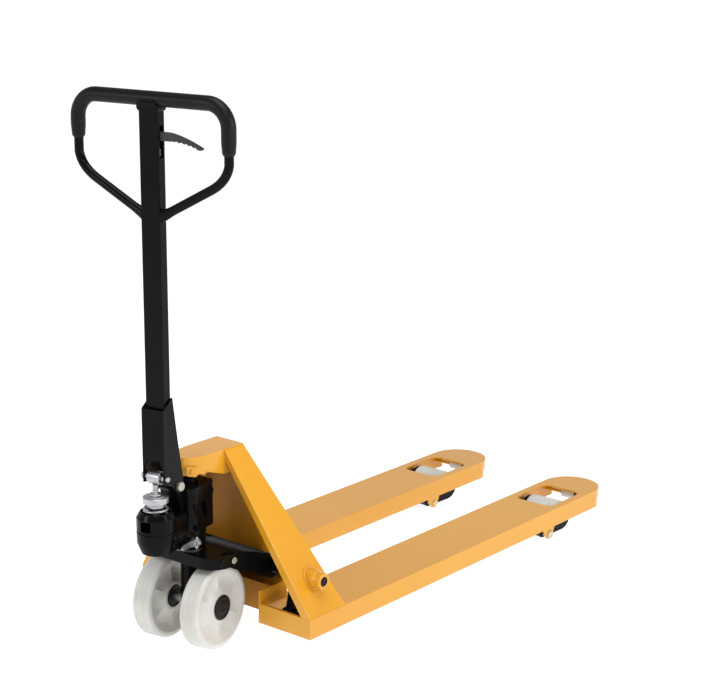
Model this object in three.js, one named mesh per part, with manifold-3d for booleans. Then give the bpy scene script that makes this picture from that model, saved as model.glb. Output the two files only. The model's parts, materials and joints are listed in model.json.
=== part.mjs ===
// Hand pallet jack, assembled as it would come apart on a bench.
// Millimetres, +Z up, +X towards the fork tips, +Y to the left of the operator's view of the tips.
// All sub-parts are first placed from the front lip of the forks (x = 0); the last lines move the
// whole jack so that its origin lies on the floor, in the middle of its footprint.

import * as THREE from 'three';
import { mergeVertices } from 'three/addons/utils/BufferGeometryUtils.js';
import Module from 'manifold-3d';

const wasm = await Module();
wasm.setup();

// ---------------------------------------------------------------- driving dimensions
const GAP = 0.3; // clearance kept between touching pieces
const RUN = 0.4; // radial clearance of a running fit
const FUSE = 0.01; // overlap that joins two parts of one solid

const FORK = { width: 160, overall: 550, top: 85, bottom: 37, sheet: 4, tip: 80, end: 1276, stepX: 1216, lip: 60 };
const FORK_Y = (FORK.overall - FORK.width) / 2; // centre line of a fork
const MOUTH = { from: 8, to: 112, halfWidth: 62 }; // open top at the front of a fork
const WINDOW = { from: 1011, to: 1161, halfWidth: 58, corner: 20 }; // roller cut-out of a fork
const LIFT = 115;

const STEER = { x: -113, degrees: 8.5 }; // steering axis, and how far the unit is turned
const WHEEL = { radius: 100.5, inner: 42, outer: 92, bore: 26, hub: 34, rim: 84, web: 14 };
const AXLE = { radius: 10, half: 93 };

const SHAFT = { x: 60, z: 160, radius: 18, half: 256 }; // torsion shaft of the rocker
const BOSS = { radius: 22, from: 206, step: 248, end: 266, mouth: 20, cap: 11 }; // holds the torsion shaft
const CHEEK = { inner: 100, outer: 105.5, panel: 103, front: 19, rear: 30 }; // side of the rocker
const PIN = { x: -82, z: 217, radius: 8, from: 92, to: 119 }; // rocker to bracket
const ROD_LEVER = { x: 24, z: 73, thick: 18, pin: 7 }; // front end of the push rods
const YOKE = { x: 980, z: 20, pin: 8, rodPin: 6, rodX: 944.6, rodZ: 55.4 };
const LOAD = { x: 1075, z: 40, radius: 40, half: 47, axle: 8, plate: 36 };
const ENTRY = { x: 1194, z: 62, radius: 13, half: 21, pin: 5 };

const HEAD = { top: 457, plate: 6, skirt: 414, rear: 31, nose: -150, half: 43, wall: 5 };
const STRAP = { x: -127.8, y: -31, degrees: -32, half: 14, top: 438, bottom: 411, thick: 4 };
const BAND = { topY: 51, topZ: 445, frontTop: -33, rearTop: 32, rearBottom: 126, thick: 6, flange: 27 };
const BULKHEAD = { x: 30, thick: 5, bottom: 205, kneeZ: 348, slope: 36, clear: 8.5 };
const CROSS = { x: 42, depth: 55, top: 117, bottom: 46, sheet: 5, half: 114.5, rear: 190 };

const BRACKET = { top: 232, bottom: 205, front: 38, side: 117, arm: 11, corner: 46, rim: 9 };
const TANK = { bottom: 288, top: 392, half: 50, front: -48, rear: 44, corner: 20, chamfer: 14 };
const CUP = { x: -119, radius: 45, bore: 33, top: 354, bottom: 258, floor: 267, flangeFrom: 284, flangeTo: 308 };
const COLUMN = { radius: 19, bottom: 78, bearing: 24 };
const COLLAR = { radius: 25, bottom: 392, step: 407, neck: 22, top: 421 };
const RAM = { radius: 17, head: 19, headBottom: 428, foot: 300 };

const PIVOT = { x: -70, z: 404, radius: 11, boss: 15, half: 38 }; // handle to pump
const ROLLER = { x: -116, z: 433, radius: 15, half: 17, pin: 6 }; // presses the plunger
const PLUNGER = { stem: 7, washer: 18, cap: 29.5, capTop: 390, capHeight: 15, guide: 9, foot: 338 };
const COIL = { radius: 26, wire: 3, turns: 5, steps: 12 };
const CATCH = { x: -36, z: 262, tipX: -79, tipZ: 262, y: -45 }; // lowers the forks

const SOCKET = { front: -124, half: 30, sheet: 4, frontTop: 592, rearTop: 616, foot: 420, arch: 474 };
const TUBE = { x: -101.5, depth: 25, width: 51, wall: 3, bottom: 500, top: 1261 };
const LOOP = { z: 1278, half: 201, radius: 10.5, bend: 52, joinZ: 1030, jointHalf: 18 };
const GRIP = { radius: 16.5, leftEnd: 1176, rightEnd: 1165 };
const LEVER = { z: 1199, y: -8, tip: -132, drop: 16, thick: 12, pin: 3, slotTop: 1222, slotBottom: 1152 };

// ---------------------------------------------------------------- materials
const finish = (color, roughness, metalness) =>
  new THREE.MeshStandardMaterial({ color, roughness, metalness });
const PAINT = { yellow: [0xe9a234, 0.35, 0.1], black: [0x161616, 0.35, 0.2] };
const METAL = { zinc: [0xb9bcc0, 0.3, 0.9], steel: [0x8d9094, 0.4, 0.9], rod: [0xd8d2c4, 0.4, 0.6] };
const PLASTIC = { nylon: [0xeceae2, 0.55, 0], rubber: [0x101010, 0.8, 0], cap: [0x1b1b1c, 0.6, 0] };

// ---------------------------------------------------------------- solids
function solid(geometry) {
  const bare = geometry.index ? geometry.toNonIndexed() : geometry.clone();
  bare.deleteAttribute('normal');
  bare.deleteAttribute('uv');
  const merged = mergeVertices(bare, 1e-4);
  return new wasm.Manifold(new wasm.Mesh({
    numProp: 3,
    vertProperties: new Float32Array(merged.attributes.position.array),
    triVerts: new Uint32Array(merged.index.array),
  }));
}

function geometryOf(manifold) {
  const mesh = manifold.getMesh();
  const geometry = new THREE.BufferGeometry();
  geometry.setAttribute('position', new THREE.BufferAttribute(mesh.vertProperties, 3));
  geometry.setIndex(new THREE.BufferAttribute(mesh.triVerts, 1));
  geometry.computeVertexNormals();
  return geometry;
}

function box(x0, x1, y0, y1, z0, z1) {
  const block = new THREE.BoxGeometry(x1 - x0, y1 - y0, z1 - z0);
  return solid(block.translate((x0 + x1) / 2, (y0 + y1) / 2, (z0 + z1) / 2));
}

// A round bar of one radius, or a cone between two, along x, y or z.
function bar(axis, from, to, u, v, radius, endRadius = radius, sides = 16) {
  const round = new THREE.CylinderGeometry(endRadius, radius, to - from, sides);
  const middle = (from + to) / 2;
  if (axis === 'x') return solid(round.rotateZ(-Math.PI / 2).translate(middle, u, v));
  if (axis === 'z') return solid(round.rotateX(Math.PI / 2).translate(u, v, middle));
  return solid(round.translate(u, middle, v));
}

function ring(axis, from, to, u, v, radius, bore, sides = 16) {
  return bar(axis, from, to, u, v, radius, radius, sides)
    .subtract(bar(axis, from - 1, to + 1, u, v, bore, bore, sides));
}

function shapeOf(points) {
  return new THREE.Shape(points.map(([a, b]) => new THREE.Vector2(a, b)));
}

// An outline in the x-y plane, raised from z0 to z1.
function slab(shape, z0, z1, curveSegments = 4) {
  const raised = new THREE.ExtrudeGeometry(shape, { depth: z1 - z0, bevelEnabled: false, curveSegments });
  return solid(raised.translate(0, 0, z0));
}

// An outline in the x-z plane, as thick as y0 to y1.
function sidePlate(shape, y0, y1, curveSegments = 4) {
  const raised = new THREE.ExtrudeGeometry(shape, { depth: y1 - y0, bevelEnabled: false, curveSegments });
  return solid(raised.rotateX(Math.PI / 2).translate(0, y1, 0));
}

// An outline in the y-z plane, as thick as x0 to x1.
function facePlate(shape, x0, x1, curveSegments = 4) {
  const raised = new THREE.ExtrudeGeometry(shape, { depth: x1 - x0, bevelEnabled: false, curveSegments });
  const turn = new THREE.Matrix4().makeBasis(
    new THREE.Vector3(0, 1, 0), new THREE.Vector3(0, 0, 1), new THREE.Vector3(1, 0, 0));
  return solid(raised.applyMatrix4(turn).translate(x0, 0, 0));
}

// The outline of a strap that runs round two circles.
function strapShape(x0, z0, r0, x1, z1, r1) {
  const length = Math.hypot(x1 - x0, z1 - z0);
  const along = Math.atan2(z1 - z0, x1 - x0);
  const spread = Math.acos((r0 - r1) / length);
  const shape = new THREE.Shape();
  shape.absarc(x0, z0, r0, along + spread, along - spread + 2 * Math.PI, false);
  shape.absarc(x1, z1, r1, along - spread, along + spread, false);
  return shape;
}

function roundedRect(x0, x1, y0, y1, r) {
  const shape = new THREE.Shape();
  shape.absarc(x0 + r, y0 + r, r, Math.PI, 1.5 * Math.PI, false);
  shape.absarc(x1 - r, y0 + r, r, 1.5 * Math.PI, 2 * Math.PI, false);
  shape.absarc(x1 - r, y1 - r, r, 0, 0.5 * Math.PI, false);
  shape.absarc(x0 + r, y1 - r, r, 0.5 * Math.PI, Math.PI, false);
  return shape;
}

function mirrored(manifold) {
  return manifold.mirror([0, 1, 0]);
}

function union(parts) {
  return parts.reduce((whole, next) => whole.add(next));
}

// ---------------------------------------------------------------- the tree
const jack = new THREE.Group();
const steerUnit = new THREE.Group(); // everything that turns with the handle
steerUnit.position.x = STEER.x;
steerUnit.rotation.z = THREE.MathUtils.degToRad(STEER.degrees);
jack.add(steerUnit);

function put(parent, name, shape, look) {
  const geometry = shape.isBufferGeometry ? shape : geometryOf(shape);
  const mesh = new THREE.Mesh(geometry, finish(...look));
  mesh.name = name;
  parent.add(mesh);
}

function putPair(parent, name, manifold, look) {
  put(parent, `${name}_left`, manifold, look);
  put(parent, `${name}_right`, mirrored(manifold), look);
}

// ---------------------------------------------------------------- forks
function forkOutline(inset) {
  const half = FORK.width / 2 - inset;
  const tipX = FORK.end - FORK.tip;
  const shape = new THREE.Shape();
  shape.moveTo(inset, -half);
  shape.lineTo(tipX, -half);
  shape.absellipse(tipX, 0, FORK.tip - inset, half, -Math.PI / 2, Math.PI / 2, false);
  shape.lineTo(inset, half);
  return shape;
}

// Ear below a side wall, which carries the yoke's pivot pin.
function yokeEar(y0, y1) {
  const ear = shapeOf([
    [YOKE.x - 30, FORK.bottom + 2], [YOKE.x - 12, YOKE.z - 9], [YOKE.x - 4, YOKE.z - 12],
    [YOKE.x + 6, YOKE.z - 12], [YOKE.x + 13, YOKE.z - 5], [YOKE.x + 22, FORK.bottom + 2],
  ]);
  return sidePlate(ear, y0, y1);
}

function fork() {
  const half = FORK.width / 2;
  const inner = half - FORK.sheet;
  let body = slab(forkOutline(0), FORK.bottom, FORK.top, 10);
  body = body.subtract(slab(forkOutline(FORK.sheet), FORK.bottom - 1, FORK.top - FORK.sheet, 10));
  body = body.subtract(box(MOUTH.from, MOUTH.to, -MOUTH.halfWidth, MOUTH.halfWidth, FORK.bottom, FORK.top + 1));
  const window = roundedRect(WINDOW.from, WINDOW.to, -WINDOW.halfWidth, WINDOW.halfWidth, WINDOW.corner);
  body = body.subtract(slab(window, FORK.bottom, FORK.top + 1, 3));
  // the skirt stops short of the rounded nose, whose rim is shallower
  body = body.subtract(box(FORK.stepX, FORK.end + 1, -half - 1, half + 1, FORK.bottom - 1, FORK.lip));
  // gusset that stands up from the inner wall, beside the rocker
  const gusset = shapeOf([[GAP, FORK.top - 1], [96, FORK.top - 1], [92, CROSS.top], [GAP, CROSS.top]]);
  body = body.add(sidePlate(gusset, -half, -inner));
  for (const side of [-1, 1]) {
    const y = side < 0 ? -half : inner;
    body = body.add(yokeEar(y, y + FORK.sheet));
  }
  const holes = bar('y', -half - 1, half + 1, YOKE.x, YOKE.z, YOKE.pin + GAP, YOKE.pin + GAP, 12)
    .add(bar('y', -half - 1, half + 1, ENTRY.x, ENTRY.z, ENTRY.pin + GAP, ENTRY.pin + GAP, 12));
  return body.subtract(holes).translate([0, FORK_Y, 0]);
}

function entryPin() {
  const half = FORK.width / 2;
  return bar('y', FORK_Y - half, FORK_Y + half, ENTRY.x, ENTRY.z, ENTRY.pin, ENTRY.pin, 12);
}

function entryRoller() {
  return ring('y', FORK_Y - ENTRY.half, FORK_Y + ENTRY.half, ENTRY.x, ENTRY.z, ENTRY.radius, ENTRY.pin + RUN, 20);
}

// ---------------------------------------------------------------- head housing
// y of the outer face of a side band at height z.
function bandY(z) {
  const outer = FORK.overall / 2;
  return outer + (BAND.topY - outer) * (z - FORK.top) / (BAND.topZ - FORK.top);
}

// x of the front edge of a side band at height z.
function bandFrontX(z) {
  return BAND.frontTop * (z - FORK.top) / (BAND.topZ - FORK.top);
}

function bandRearX(z) {
  return BAND.rearBottom + (BAND.rearTop - BAND.rearBottom) * (z - FORK.top) / (BAND.topZ - FORK.top);
}

// A closed slanted plate through four corners, given in order round its face, and a thickness vector.
function slantedPlate(corners, dx, dy, dz) {
  const p = [];
  for (const c of corners) p.push(...c);
  for (const [x, y, z] of corners) p.push(x + dx, y + dy, z + dz);
  const faces = [0, 1, 2, 0, 2, 3, 4, 6, 5, 4, 7, 6];
  for (let i = 0; i < corners.length; i += 1) {
    const j = (i + 1) % corners.length;
    faces.push(i, i + 4, j, j, i + 4, j + 4);
  }
  const geometry = new THREE.BufferGeometry();
  geometry.setAttribute('position', new THREE.Float32BufferAttribute(p, 3));
  geometry.setIndex(faces);
  const plate = solid(geometry);
  if (plate.volume() > 0) return plate;
  for (let i = 0; i < faces.length; i += 3) faces.splice(i, 3, faces[i], faces[i + 2], faces[i + 1]);
  geometry.setIndex(faces);
  return solid(geometry);
}

function sideBand() {
  const z0 = FORK.top + GAP;
  const z1 = HEAD.top - 2;
  const face = [
    [bandFrontX(z0), bandY(z0), z0], [bandRearX(z0), bandY(z0), z0],
    [bandRearX(z1), bandY(z1), z1], [bandFrontX(z1), bandY(z1), z1],
  ];
  const plate = slantedPlate(face, 0, -BAND.thick * 1.2, 0);
  const inset = 0.5;
  const strip = [
    [bandFrontX(z0), bandY(z0) - inset, z0], [bandFrontX(z1), bandY(z1) - inset, z1],
    [bandFrontX(z1), bandY(z1) - inset - BAND.flange * 0.6, z1],
    [bandFrontX(z0), bandY(z0) - BAND.flange, z0],
  ];
  return plate.add(slantedPlate(strip, BAND.thick, 0, 0));
}

function noseOutline(inset) {
  const half = HEAD.half - inset;
  const noseBack = -62;
  const shape = new THREE.Shape();
  shape.moveTo(HEAD.rear, half);
  shape.lineTo(noseBack, half);
  shape.absellipse(noseBack, 0, noseBack - HEAD.nose - inset, half, Math.PI / 2, 1.5 * Math.PI, false);
  shape.lineTo(HEAD.rear, -half);
  return shape;
}

function headHousing() {
  const plate = slab(noseOutline(0), HEAD.top - HEAD.plate, HEAD.top, 10);
  let skirt = slab(noseOutline(0), HEAD.skirt, HEAD.top - 1, 10);
  skirt = skirt.subtract(slab(noseOutline(HEAD.wall), HEAD.skirt - 1, HEAD.top, 10));
  // the skirt's lower edge drops towards the rear, where the side bands take over
  const apron = shapeOf([
    [-95, HEAD.skirt + 4], [-34, HEAD.skirt - 16], [-14, HEAD.skirt - 16], [-8, HEAD.skirt + 4],
  ]);
  skirt = skirt.add(sidePlate(apron, HEAD.half - HEAD.wall, HEAD.half));
  skirt = skirt.add(sidePlate(apron, -HEAD.half, -HEAD.half + HEAD.wall));
  const band = sideBand();
  let housing = plate.add(skirt).add(band).add(mirrored(band));
  const bore = bar('y', -FORK.overall, FORK.overall, SHAFT.x, SHAFT.z, BOSS.radius + GAP);
  housing = housing.subtract(bore);
  return housing;
}

// Folded panel that closes the housing between the side bands.
function bulkhead() {
  const { x, thick, bottom, kneeZ, slope, clear } = BULKHEAD;
  const top = HEAD.top - HEAD.plate - GAP;
  const neckZ = HEAD.skirt - 10;
  const neckHalf = HEAD.half - HEAD.wall - GAP;
  const panelX = (z) => (z < kneeZ ? x : x - slope * (z - kneeZ) / (top - kneeZ));
  const panel = (z0, half0, z1, half1) => slantedPlate([
    [panelX(z0), -half0, z0], [panelX(z0), half0, z0], [panelX(z1), half1, z1], [panelX(z1), -half1, z1]],
  thick, 0, 0);
  const kneeHalf = bandY(kneeZ) - BAND.flange;
  return panel(bottom, bandY(bottom) - clear, kneeZ, bandY(kneeZ) - clear)
    .add(panel(kneeZ - FUSE, kneeHalf, neckZ, neckHalf))
    .add(panel(neckZ - FUSE, neckHalf, top, neckHalf));
}

function crossMember() {
  const { x, depth, top, bottom, sheet, half, rear } = CROSS;
  const end = x + depth;
  const outline = shapeOf([
    [x, bottom], [end, bottom], [end, bottom + sheet], [x + sheet, bottom + sheet],
    [x + sheet, top - sheet], [end, top - sheet], [end, rear], [end - sheet, rear], [end - sheet, top], [x, top]]);
  return sidePlate(outline, -half, half);
}

// Boss welded into a side band, with the bore that the torsion shaft turns in.
function shaftBoss() {
  const { radius, from, step, end, mouth, cap } = BOSS;
  const { x, z } = SHAFT;
  const tube = bar('y', from, step, x, z, radius).add(bar('y', step - FUSE, end, x, z, radius, mouth));
  return tube.subtract(bar('y', from - 1, SHAFT.half + 1, x, z, SHAFT.radius + RUN))
    .subtract(bar('y', from, end + 1, x, z, cap + GAP));
}

function shaftCap() {
  const dish = bar('y', BOSS.end + 1, BOSS.end + 4, SHAFT.x, SHAFT.z, BOSS.cap - 4);
  return bar('y', SHAFT.half + 1.4, BOSS.end + 2, SHAFT.x, SHAFT.z, BOSS.cap).subtract(dish);
}

// Small bolted tab on the rounded nose of the head.
function retainingStrap() {
  const { x, y, degrees, half, top, bottom, thick } = STRAP;
  const tab = shapeOf([
    [-half, top], [half, top - 5], [half, bottom + 6], [half - 6, bottom], [4 - half, bottom + 3], [-half, bottom + 9]]);
  const bolt = bar('y', -thick - 5, -thick + 1, 0, (top + bottom) / 2, 6, 6, 6);
  return sidePlate(tab, -thick, 0).add(bolt).rotate([0, 0, degrees]).translate([x, y, 0]);
}

// ---------------------------------------------------------------- rocker and push rods
function rockerArm() {
  const { inner, outer, panel, front, rear } = CHEEK;
  const wall = strapShape(SHAFT.x, SHAFT.z, rear, PIN.x, PIN.z, front);
  const belly = shapeOf([[-60, 190], [-41, 178], [20, 145], [SHAFT.x - 8, 131], [SHAFT.x, 160], [-40, 210]]);
  // pressed panel between the upper lip and the lower rib
  const hollow = shapeOf([[-52, 217], [-50, 196], [SHAFT.x - 34, 153], [SHAFT.x - 26, 158], [SHAFT.x - 28, 182]]);
  const cheek = sidePlate(wall, inner, outer).add(sidePlate(belly, inner, outer))
    .subtract(sidePlate(hollow, panel, outer + 1));
  const hub = bar('y', -outer, outer, SHAFT.x, SHAFT.z, 26);
  const web = shapeOf([[-44, 210], [SHAFT.x - 2, 176], [SHAFT.x - 2, 186], [-44, 219]]);
  const rib = shapeOf([[-30, 180], [SHAFT.x - 15, 141], [SHAFT.x - 12, 146], [-29, 185]]);
  const arm = union([cheek, mirrored(cheek), hub, sidePlate(web, -outer + 1, outer - 1),
    sidePlate(rib, inner - 12, inner + 1), sidePlate(rib, -inner - 1, -inner + 12)]);
  return arm
    .subtract(bar('y', -outer - 1, outer + 1, SHAFT.x, SHAFT.z, SHAFT.radius + GAP))
    .subtract(bar('y', -outer - 1, outer + 1, PIN.x, PIN.z, PIN.radius + RUN));
}

function rodLever() {
  const half = ROD_LEVER.thick / 2;
  const blade = sidePlate(strapShape(SHAFT.x, SHAFT.z, 26, ROD_LEVER.x, ROD_LEVER.z, 12), FORK_Y - half, FORK_Y + half);
  const pin = bar('y', FORK_Y - half - 14, FORK_Y + half + 14, ROD_LEVER.x, ROD_LEVER.z, ROD_LEVER.pin, ROD_LEVER.pin, 16);
  return blade.add(pin)
    .subtract(bar('y', 0, FORK.overall, SHAFT.x, SHAFT.z, SHAFT.radius + GAP));
}

// Flat bars with a slotted eye at the front and an open jaw over the yoke's pin at the rear.
function pushRod() {
  const half = ROD_LEVER.thick / 2 + 1;
  const thick = 8;
  const front = ROD_LEVER.x;
  const rear = YOKE.rodX;
  const slotHalf = YOKE.rodPin + 2;
  const eye = roundedRect(front - 14, front + 15, ROD_LEVER.z - 22, ROD_LEVER.z + 13, 10);
  const eyeSlot = roundedRect(front - 8, front + 8, ROD_LEVER.z - 15, ROD_LEVER.z + 8, 7.9);
  const jaw = shapeOf([
    [rear - 26, 46], [rear - slotHalf, 46], [rear - slotHalf, 77.5], [rear + slotHalf, 77.5],
    [rear + slotHalf, 46], [rear + 15, 46], [rear + 15, 80], [rear - 26, 80]]);
  const cheek = sidePlate(eye, half, half + thick).subtract(sidePlate(eyeSlot, 0, half + thick + 1))
    .add(sidePlate(shapeOf([[front + 12, 54], [front + 60, 54], [front + 60, 72], [front + 12, 72]]), half, half + thick));
  const end = sidePlate(jaw, half, half + thick);
  const beam = box(front + 52, rear - 22, -half - thick, half + thick, 54, 72);
  const hollow = box(front + 70, rear - 45, -half, half, 50, 68);
  return union([cheek, mirrored(cheek), beam.subtract(hollow), end, mirrored(end)])
    .translate([0, FORK_Y, 0]);
}

// ---------------------------------------------------------------- load rollers
function yoke() {
  const inner = LOAD.half + 3;
  const outer = inner + 8;
  const arm = strapShape(YOKE.x, YOKE.z, 14, LOAD.x, LOAD.z, LOAD.plate);
  const horn = strapShape(YOKE.x, YOKE.z, 14, YOKE.rodX, YOKE.rodZ, 12);
  let plate = sidePlate(arm, inner, outer);
  const innerHorn = ROD_LEVER.thick / 2 - 1;
  const lug = sidePlate(strapShape(YOKE.x, YOKE.z, 13, YOKE.rodX, YOKE.rodZ, 9.5), 0, innerHorn);
  plate = plate.add(sidePlate(horn, inner, outer).subtract(box(0, YOKE.x, 0, outer + 1, YOKE.rodZ + 4, FORK.top)));
  const barrel = bar('y', -outer, outer, YOKE.x, YOKE.z, 13, 13, 20);
  const pin = bar('y', -inner - 2, inner + 2, YOKE.rodX, YOKE.rodZ, YOKE.rodPin, YOKE.rodPin, 16);
  return union([plate, mirrored(plate), barrel, lug, mirrored(lug), pin])
    .subtract(bar('y', -outer - 1, outer + 1, YOKE.x, YOKE.z, YOKE.pin + RUN, YOKE.pin + RUN, 16))
    .subtract(bar('y', -outer - 1, outer + 1, LOAD.x, LOAD.z, LOAD.axle + GAP, LOAD.axle + GAP, 16))
    .translate([0, FORK_Y, 0]);
}

function yokePin() {
  const half = FORK.width / 2 + 3;
  const head = bar('y', FORK_Y + half - 2.7, FORK_Y + half + 2, YOKE.x, YOKE.z, 11, 10, 16);
  return bar('y', FORK_Y - half, FORK_Y + half - 2, YOKE.x, YOKE.z, YOKE.pin, YOKE.pin, 16).add(head);
}

function loadRoller() {
  const { half, radius, axle } = LOAD;
  const edge = 4;
  const bore = axle + RUN;
  const profile = [[bore, -half], [radius - edge, -half], [radius, -half + edge],
    [radius, half - edge], [radius - edge, half], [bore, half], [bore, -half]];
  const wheel = new THREE.LatheGeometry(profile.map(([r, y]) => new THREE.Vector2(r, y)), 28);
  return solid(wheel.translate(LOAD.x, FORK_Y, LOAD.z));
}

function loadAxle() {
  const half = LOAD.half + 12;
  return bar('y', FORK_Y - half, FORK_Y + half, LOAD.x, LOAD.z, LOAD.axle, LOAD.axle, 16);
}

// ---------------------------------------------------------------- bracket
// Horseshoe seen from above, in the frame of the forks.
function bracketOutline(inset) {
  const front = STEER.x - BRACKET.front + inset;
  const side = BRACKET.side - inset;
  const r = BRACKET.corner - inset;
  const rear = STEER.x + 40 - inset;
  const shape = new THREE.Shape();
  shape.absarc(front + r, -side + r, r, Math.PI, 1.5 * Math.PI, false);
  shape.lineTo(rear, -side);
  shape.lineTo(rear, side);
  shape.absarc(front + r, side - r, r, 0.5 * Math.PI, Math.PI, false);
  return shape;
}

function bracket() {
  const { top, bottom, side, arm, rim } = BRACKET;
  let body = slab(bracketOutline(0), bottom, top, 6);
  body = body.subtract(slab(bracketOutline(rim), bottom - 1, top - rim, 6));
  body = body.add(bar('z', bottom, top, STEER.x, 0, 36, 36, 32));
  const eye = sidePlate(strapShape(PIN.x - 34, PIN.z + 1, 13, PIN.x, PIN.z, 15), side - arm, side);
  // the inner corners at the rear leave room for the rocker's cheeks
  const notch = box(PIN.x - 24, 0, side - arm - 14, side - arm + 0.001, bottom - 1, top + 5);
  body = body.subtract(notch).subtract(mirrored(notch));
  body = body.add(eye).add(mirrored(eye));
  return body
    .subtract(bar('z', bottom - 1, top + 1, STEER.x, 0, COLUMN.bearing, COLUMN.bearing, 32))
    .subtract(bar('y', -side - 1, side + 1, PIN.x, PIN.z, PIN.radius + GAP));
}

function bracketPin() {
  return bar('y', PIN.from, PIN.to, PIN.x, PIN.z, PIN.radius);
}

function thrustBearing() {
  return ring('z', BRACKET.top + GAP, BRACKET.top + 4 - GAP, STEER.x, 0, 36, COLUMN.bearing, 32);
}

// ---------------------------------------------------------------- pump (in the steering frame)
// Cup that the plunger's spring stands in, with a flange and an open slot in its front.
function pumpCup() {
  const { x, radius, top, bottom, flangeFrom, flangeTo } = CUP;
  const shoulder = top - 12;
  const round = (from, to, r, end = r) => bar('z', from, to + FUSE, x, 0, r, end, 32);
  return union([
    round(bottom, flangeFrom, radius - 10, radius), round(flangeFrom, flangeTo, radius),
    round(flangeTo, flangeTo + 6, radius - 2), round(flangeTo + 6, shoulder, radius),
    round(shoulder, top, radius, radius - 7)]);
}

function pumpTank() {
  const { bottom, top, half, front, rear, corner, chamfer } = TANK;
  const block = slab(roundedRect(front, rear, -half, half, corner), bottom, top, 4);
  const wedge = shapeOf([[rear - chamfer, bottom - 1], [rear + 1, bottom - 1], [rear + 1, bottom + chamfer]]);
  const recess = roundedRect(-22, 4, 308, 352, 10);
  return block.subtract(sidePlate(wedge, -half - 1, half + 1)).subtract(sidePlate(recess, -half - 1, -half + 8));
}

function pumpBody() {
  const base = bar('z', BRACKET.top + 4, TANK.bottom + 1, 0, 0, 40, 43, 32);
  const column = bar('z', COLUMN.bottom, BRACKET.top + 5, 0, 0, COLUMN.radius);
  const neck = box(CUP.x, 0, -34, 34, CUP.bottom + 2, CUP.top - 18);
  const ear = sidePlate(shapeOf([
    [PIVOT.x, PIVOT.z + PIVOT.boss], [PIVOT.x, PIVOT.z - PIVOT.boss], [TANK.front - 8, CUP.top - 20],
    [TANK.front + 10, CUP.top - 20], [TANK.front + 2, TANK.top]]), -25, 25);
  const boss = bar('y', -25, 25, PIVOT.x, PIVOT.z, PIVOT.boss);
  const slot = box(CUP.x - CUP.radius - 1, CUP.x - 20, -16, 10, CUP.flangeTo + 8, CUP.top - 14);
  return union([pumpTank(), base, column, pumpCup(), neck, ear, boss])
    .subtract(bar('z', CUP.floor, CUP.top + 1, CUP.x, 0, CUP.bore, CUP.bore, 32))
    .subtract(slot)
    .subtract(bar('z', RAM.foot - 1, TANK.top + 1, 0, 0, RAM.radius + RUN))
    .subtract(bar('y', -30, 30, PIVOT.x, PIVOT.z, PIVOT.radius + GAP))
    .subtract(bar('y', -30, 30, 0, WHEEL.radius, AXLE.radius + GAP));
}

function sealCollar() {
  const { radius, bottom, step, neck, top } = COLLAR;
  const dome = bar('z', bottom + GAP, step, 0, 0, radius).add(bar('z', step - FUSE, top, 0, 0, neck, neck - 2));
  return dome.subtract(bar('z', bottom - 1, top + 1, 0, 0, RAM.radius + RUN));
}

function ram() {
  const top = HEAD.top - HEAD.plate - 1;
  return bar('z', RAM.foot, RAM.headBottom + 1, 0, 0, RAM.radius)
    .add(bar('z', RAM.headBottom, top, 0, 0, RAM.head, RAM.head - 3));
}

function plunger() {
  const { stem, washer, cap, capTop, capHeight, guide, foot } = PLUNGER;
  const top = ROLLER.z - ROLLER.radius - 0.5;
  return union([
    bar('z', capTop, top, CUP.x, 0, stem, stem, 16),
    bar('z', capTop - FUSE, capTop + 3, CUP.x, 0, washer + 4, washer, 24),
    bar('z', capTop + 3 - FUSE, capTop + 7, CUP.x, 0, washer - 5),
    bar('z', capTop - capHeight, capTop, CUP.x, 0, cap, cap, 32),
    bar('z', foot, capTop - capHeight + 1, CUP.x, 0, guide, guide, 16)]);
}

class Helix extends THREE.Curve {
  getPoint(t, target = new THREE.Vector3()) {
    const angle = 2 * Math.PI * COIL.turns * t;
    const low = CUP.floor + COIL.wire + 0.5;
    const high = PLUNGER.capTop - PLUNGER.capHeight - COIL.wire - 0.5;
    return target.set(CUP.x + COIL.radius * Math.cos(angle), COIL.radius * Math.sin(angle), low + (high - low) * t);
  }
}

function plungerSpring() {
  const section = new THREE.Shape();
  section.absarc(0, 0, COIL.wire, 0, 2 * Math.PI, false);
  return solid(new THREE.ExtrudeGeometry(section, {
    extrudePath: new Helix(), steps: COIL.turns * COIL.steps, curveSegments: 3, bevelEnabled: false }));
}

function pivotShaft() {
  return bar('y', -PIVOT.half, PIVOT.half, PIVOT.x, PIVOT.z, PIVOT.radius);
}

function releaseLever() {
  const { x, z, tipX, tipZ, y } = CATCH;
  const arm = sidePlate(strapShape(tipX, tipZ, 6, x, z, 9), y - 2, y + 2);
  return arm.add(bar('y', y - 7, y + 6, x, z, 5, 5, 12)).add(bar('y', y - 8, y - 1, x, z, 7.5, 7.5, 6));
}

// ---------------------------------------------------------------- steering wheels
function steerWheel() {
  const { radius, inner, outer, bore, hub, rim, web } = WHEEL;
  const edge = 6;
  const middle = (inner + outer) / 2;
  const near = middle - web / 2;
  const far = middle + web / 2;
  const profile = [
    [bore, inner], [hub, inner], [hub + 2, near], [rim, near], [rim + 3, inner + 2], [radius - edge, inner],
    [radius, inner + edge], [radius, outer - edge], [radius - edge, outer], [rim + 3, outer - 2],
    [rim, far], [hub + 2, far], [hub, outer], [bore, outer], [bore, inner]];
  const lathe = new THREE.LatheGeometry(profile.map(([r, y]) => new THREE.Vector2(r, y)), 40);
  return solid(lathe.translate(0, 0, radius));
}

function wheelBearing() {
  return ring('y', WHEEL.inner - 2, WHEEL.outer - 4, 0, WHEEL.radius, WHEEL.bore - GAP, AXLE.radius + RUN);
}

function hubCap() {
  const from = WHEEL.outer + GAP;
  return bar('y', from + 1.4, from + 5, 0, WHEEL.radius, 30, 27, 32);
}

function steerAxle() {
  return bar('y', -AXLE.half, AXLE.half, 0, WHEEL.radius, AXLE.radius);
}

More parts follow.
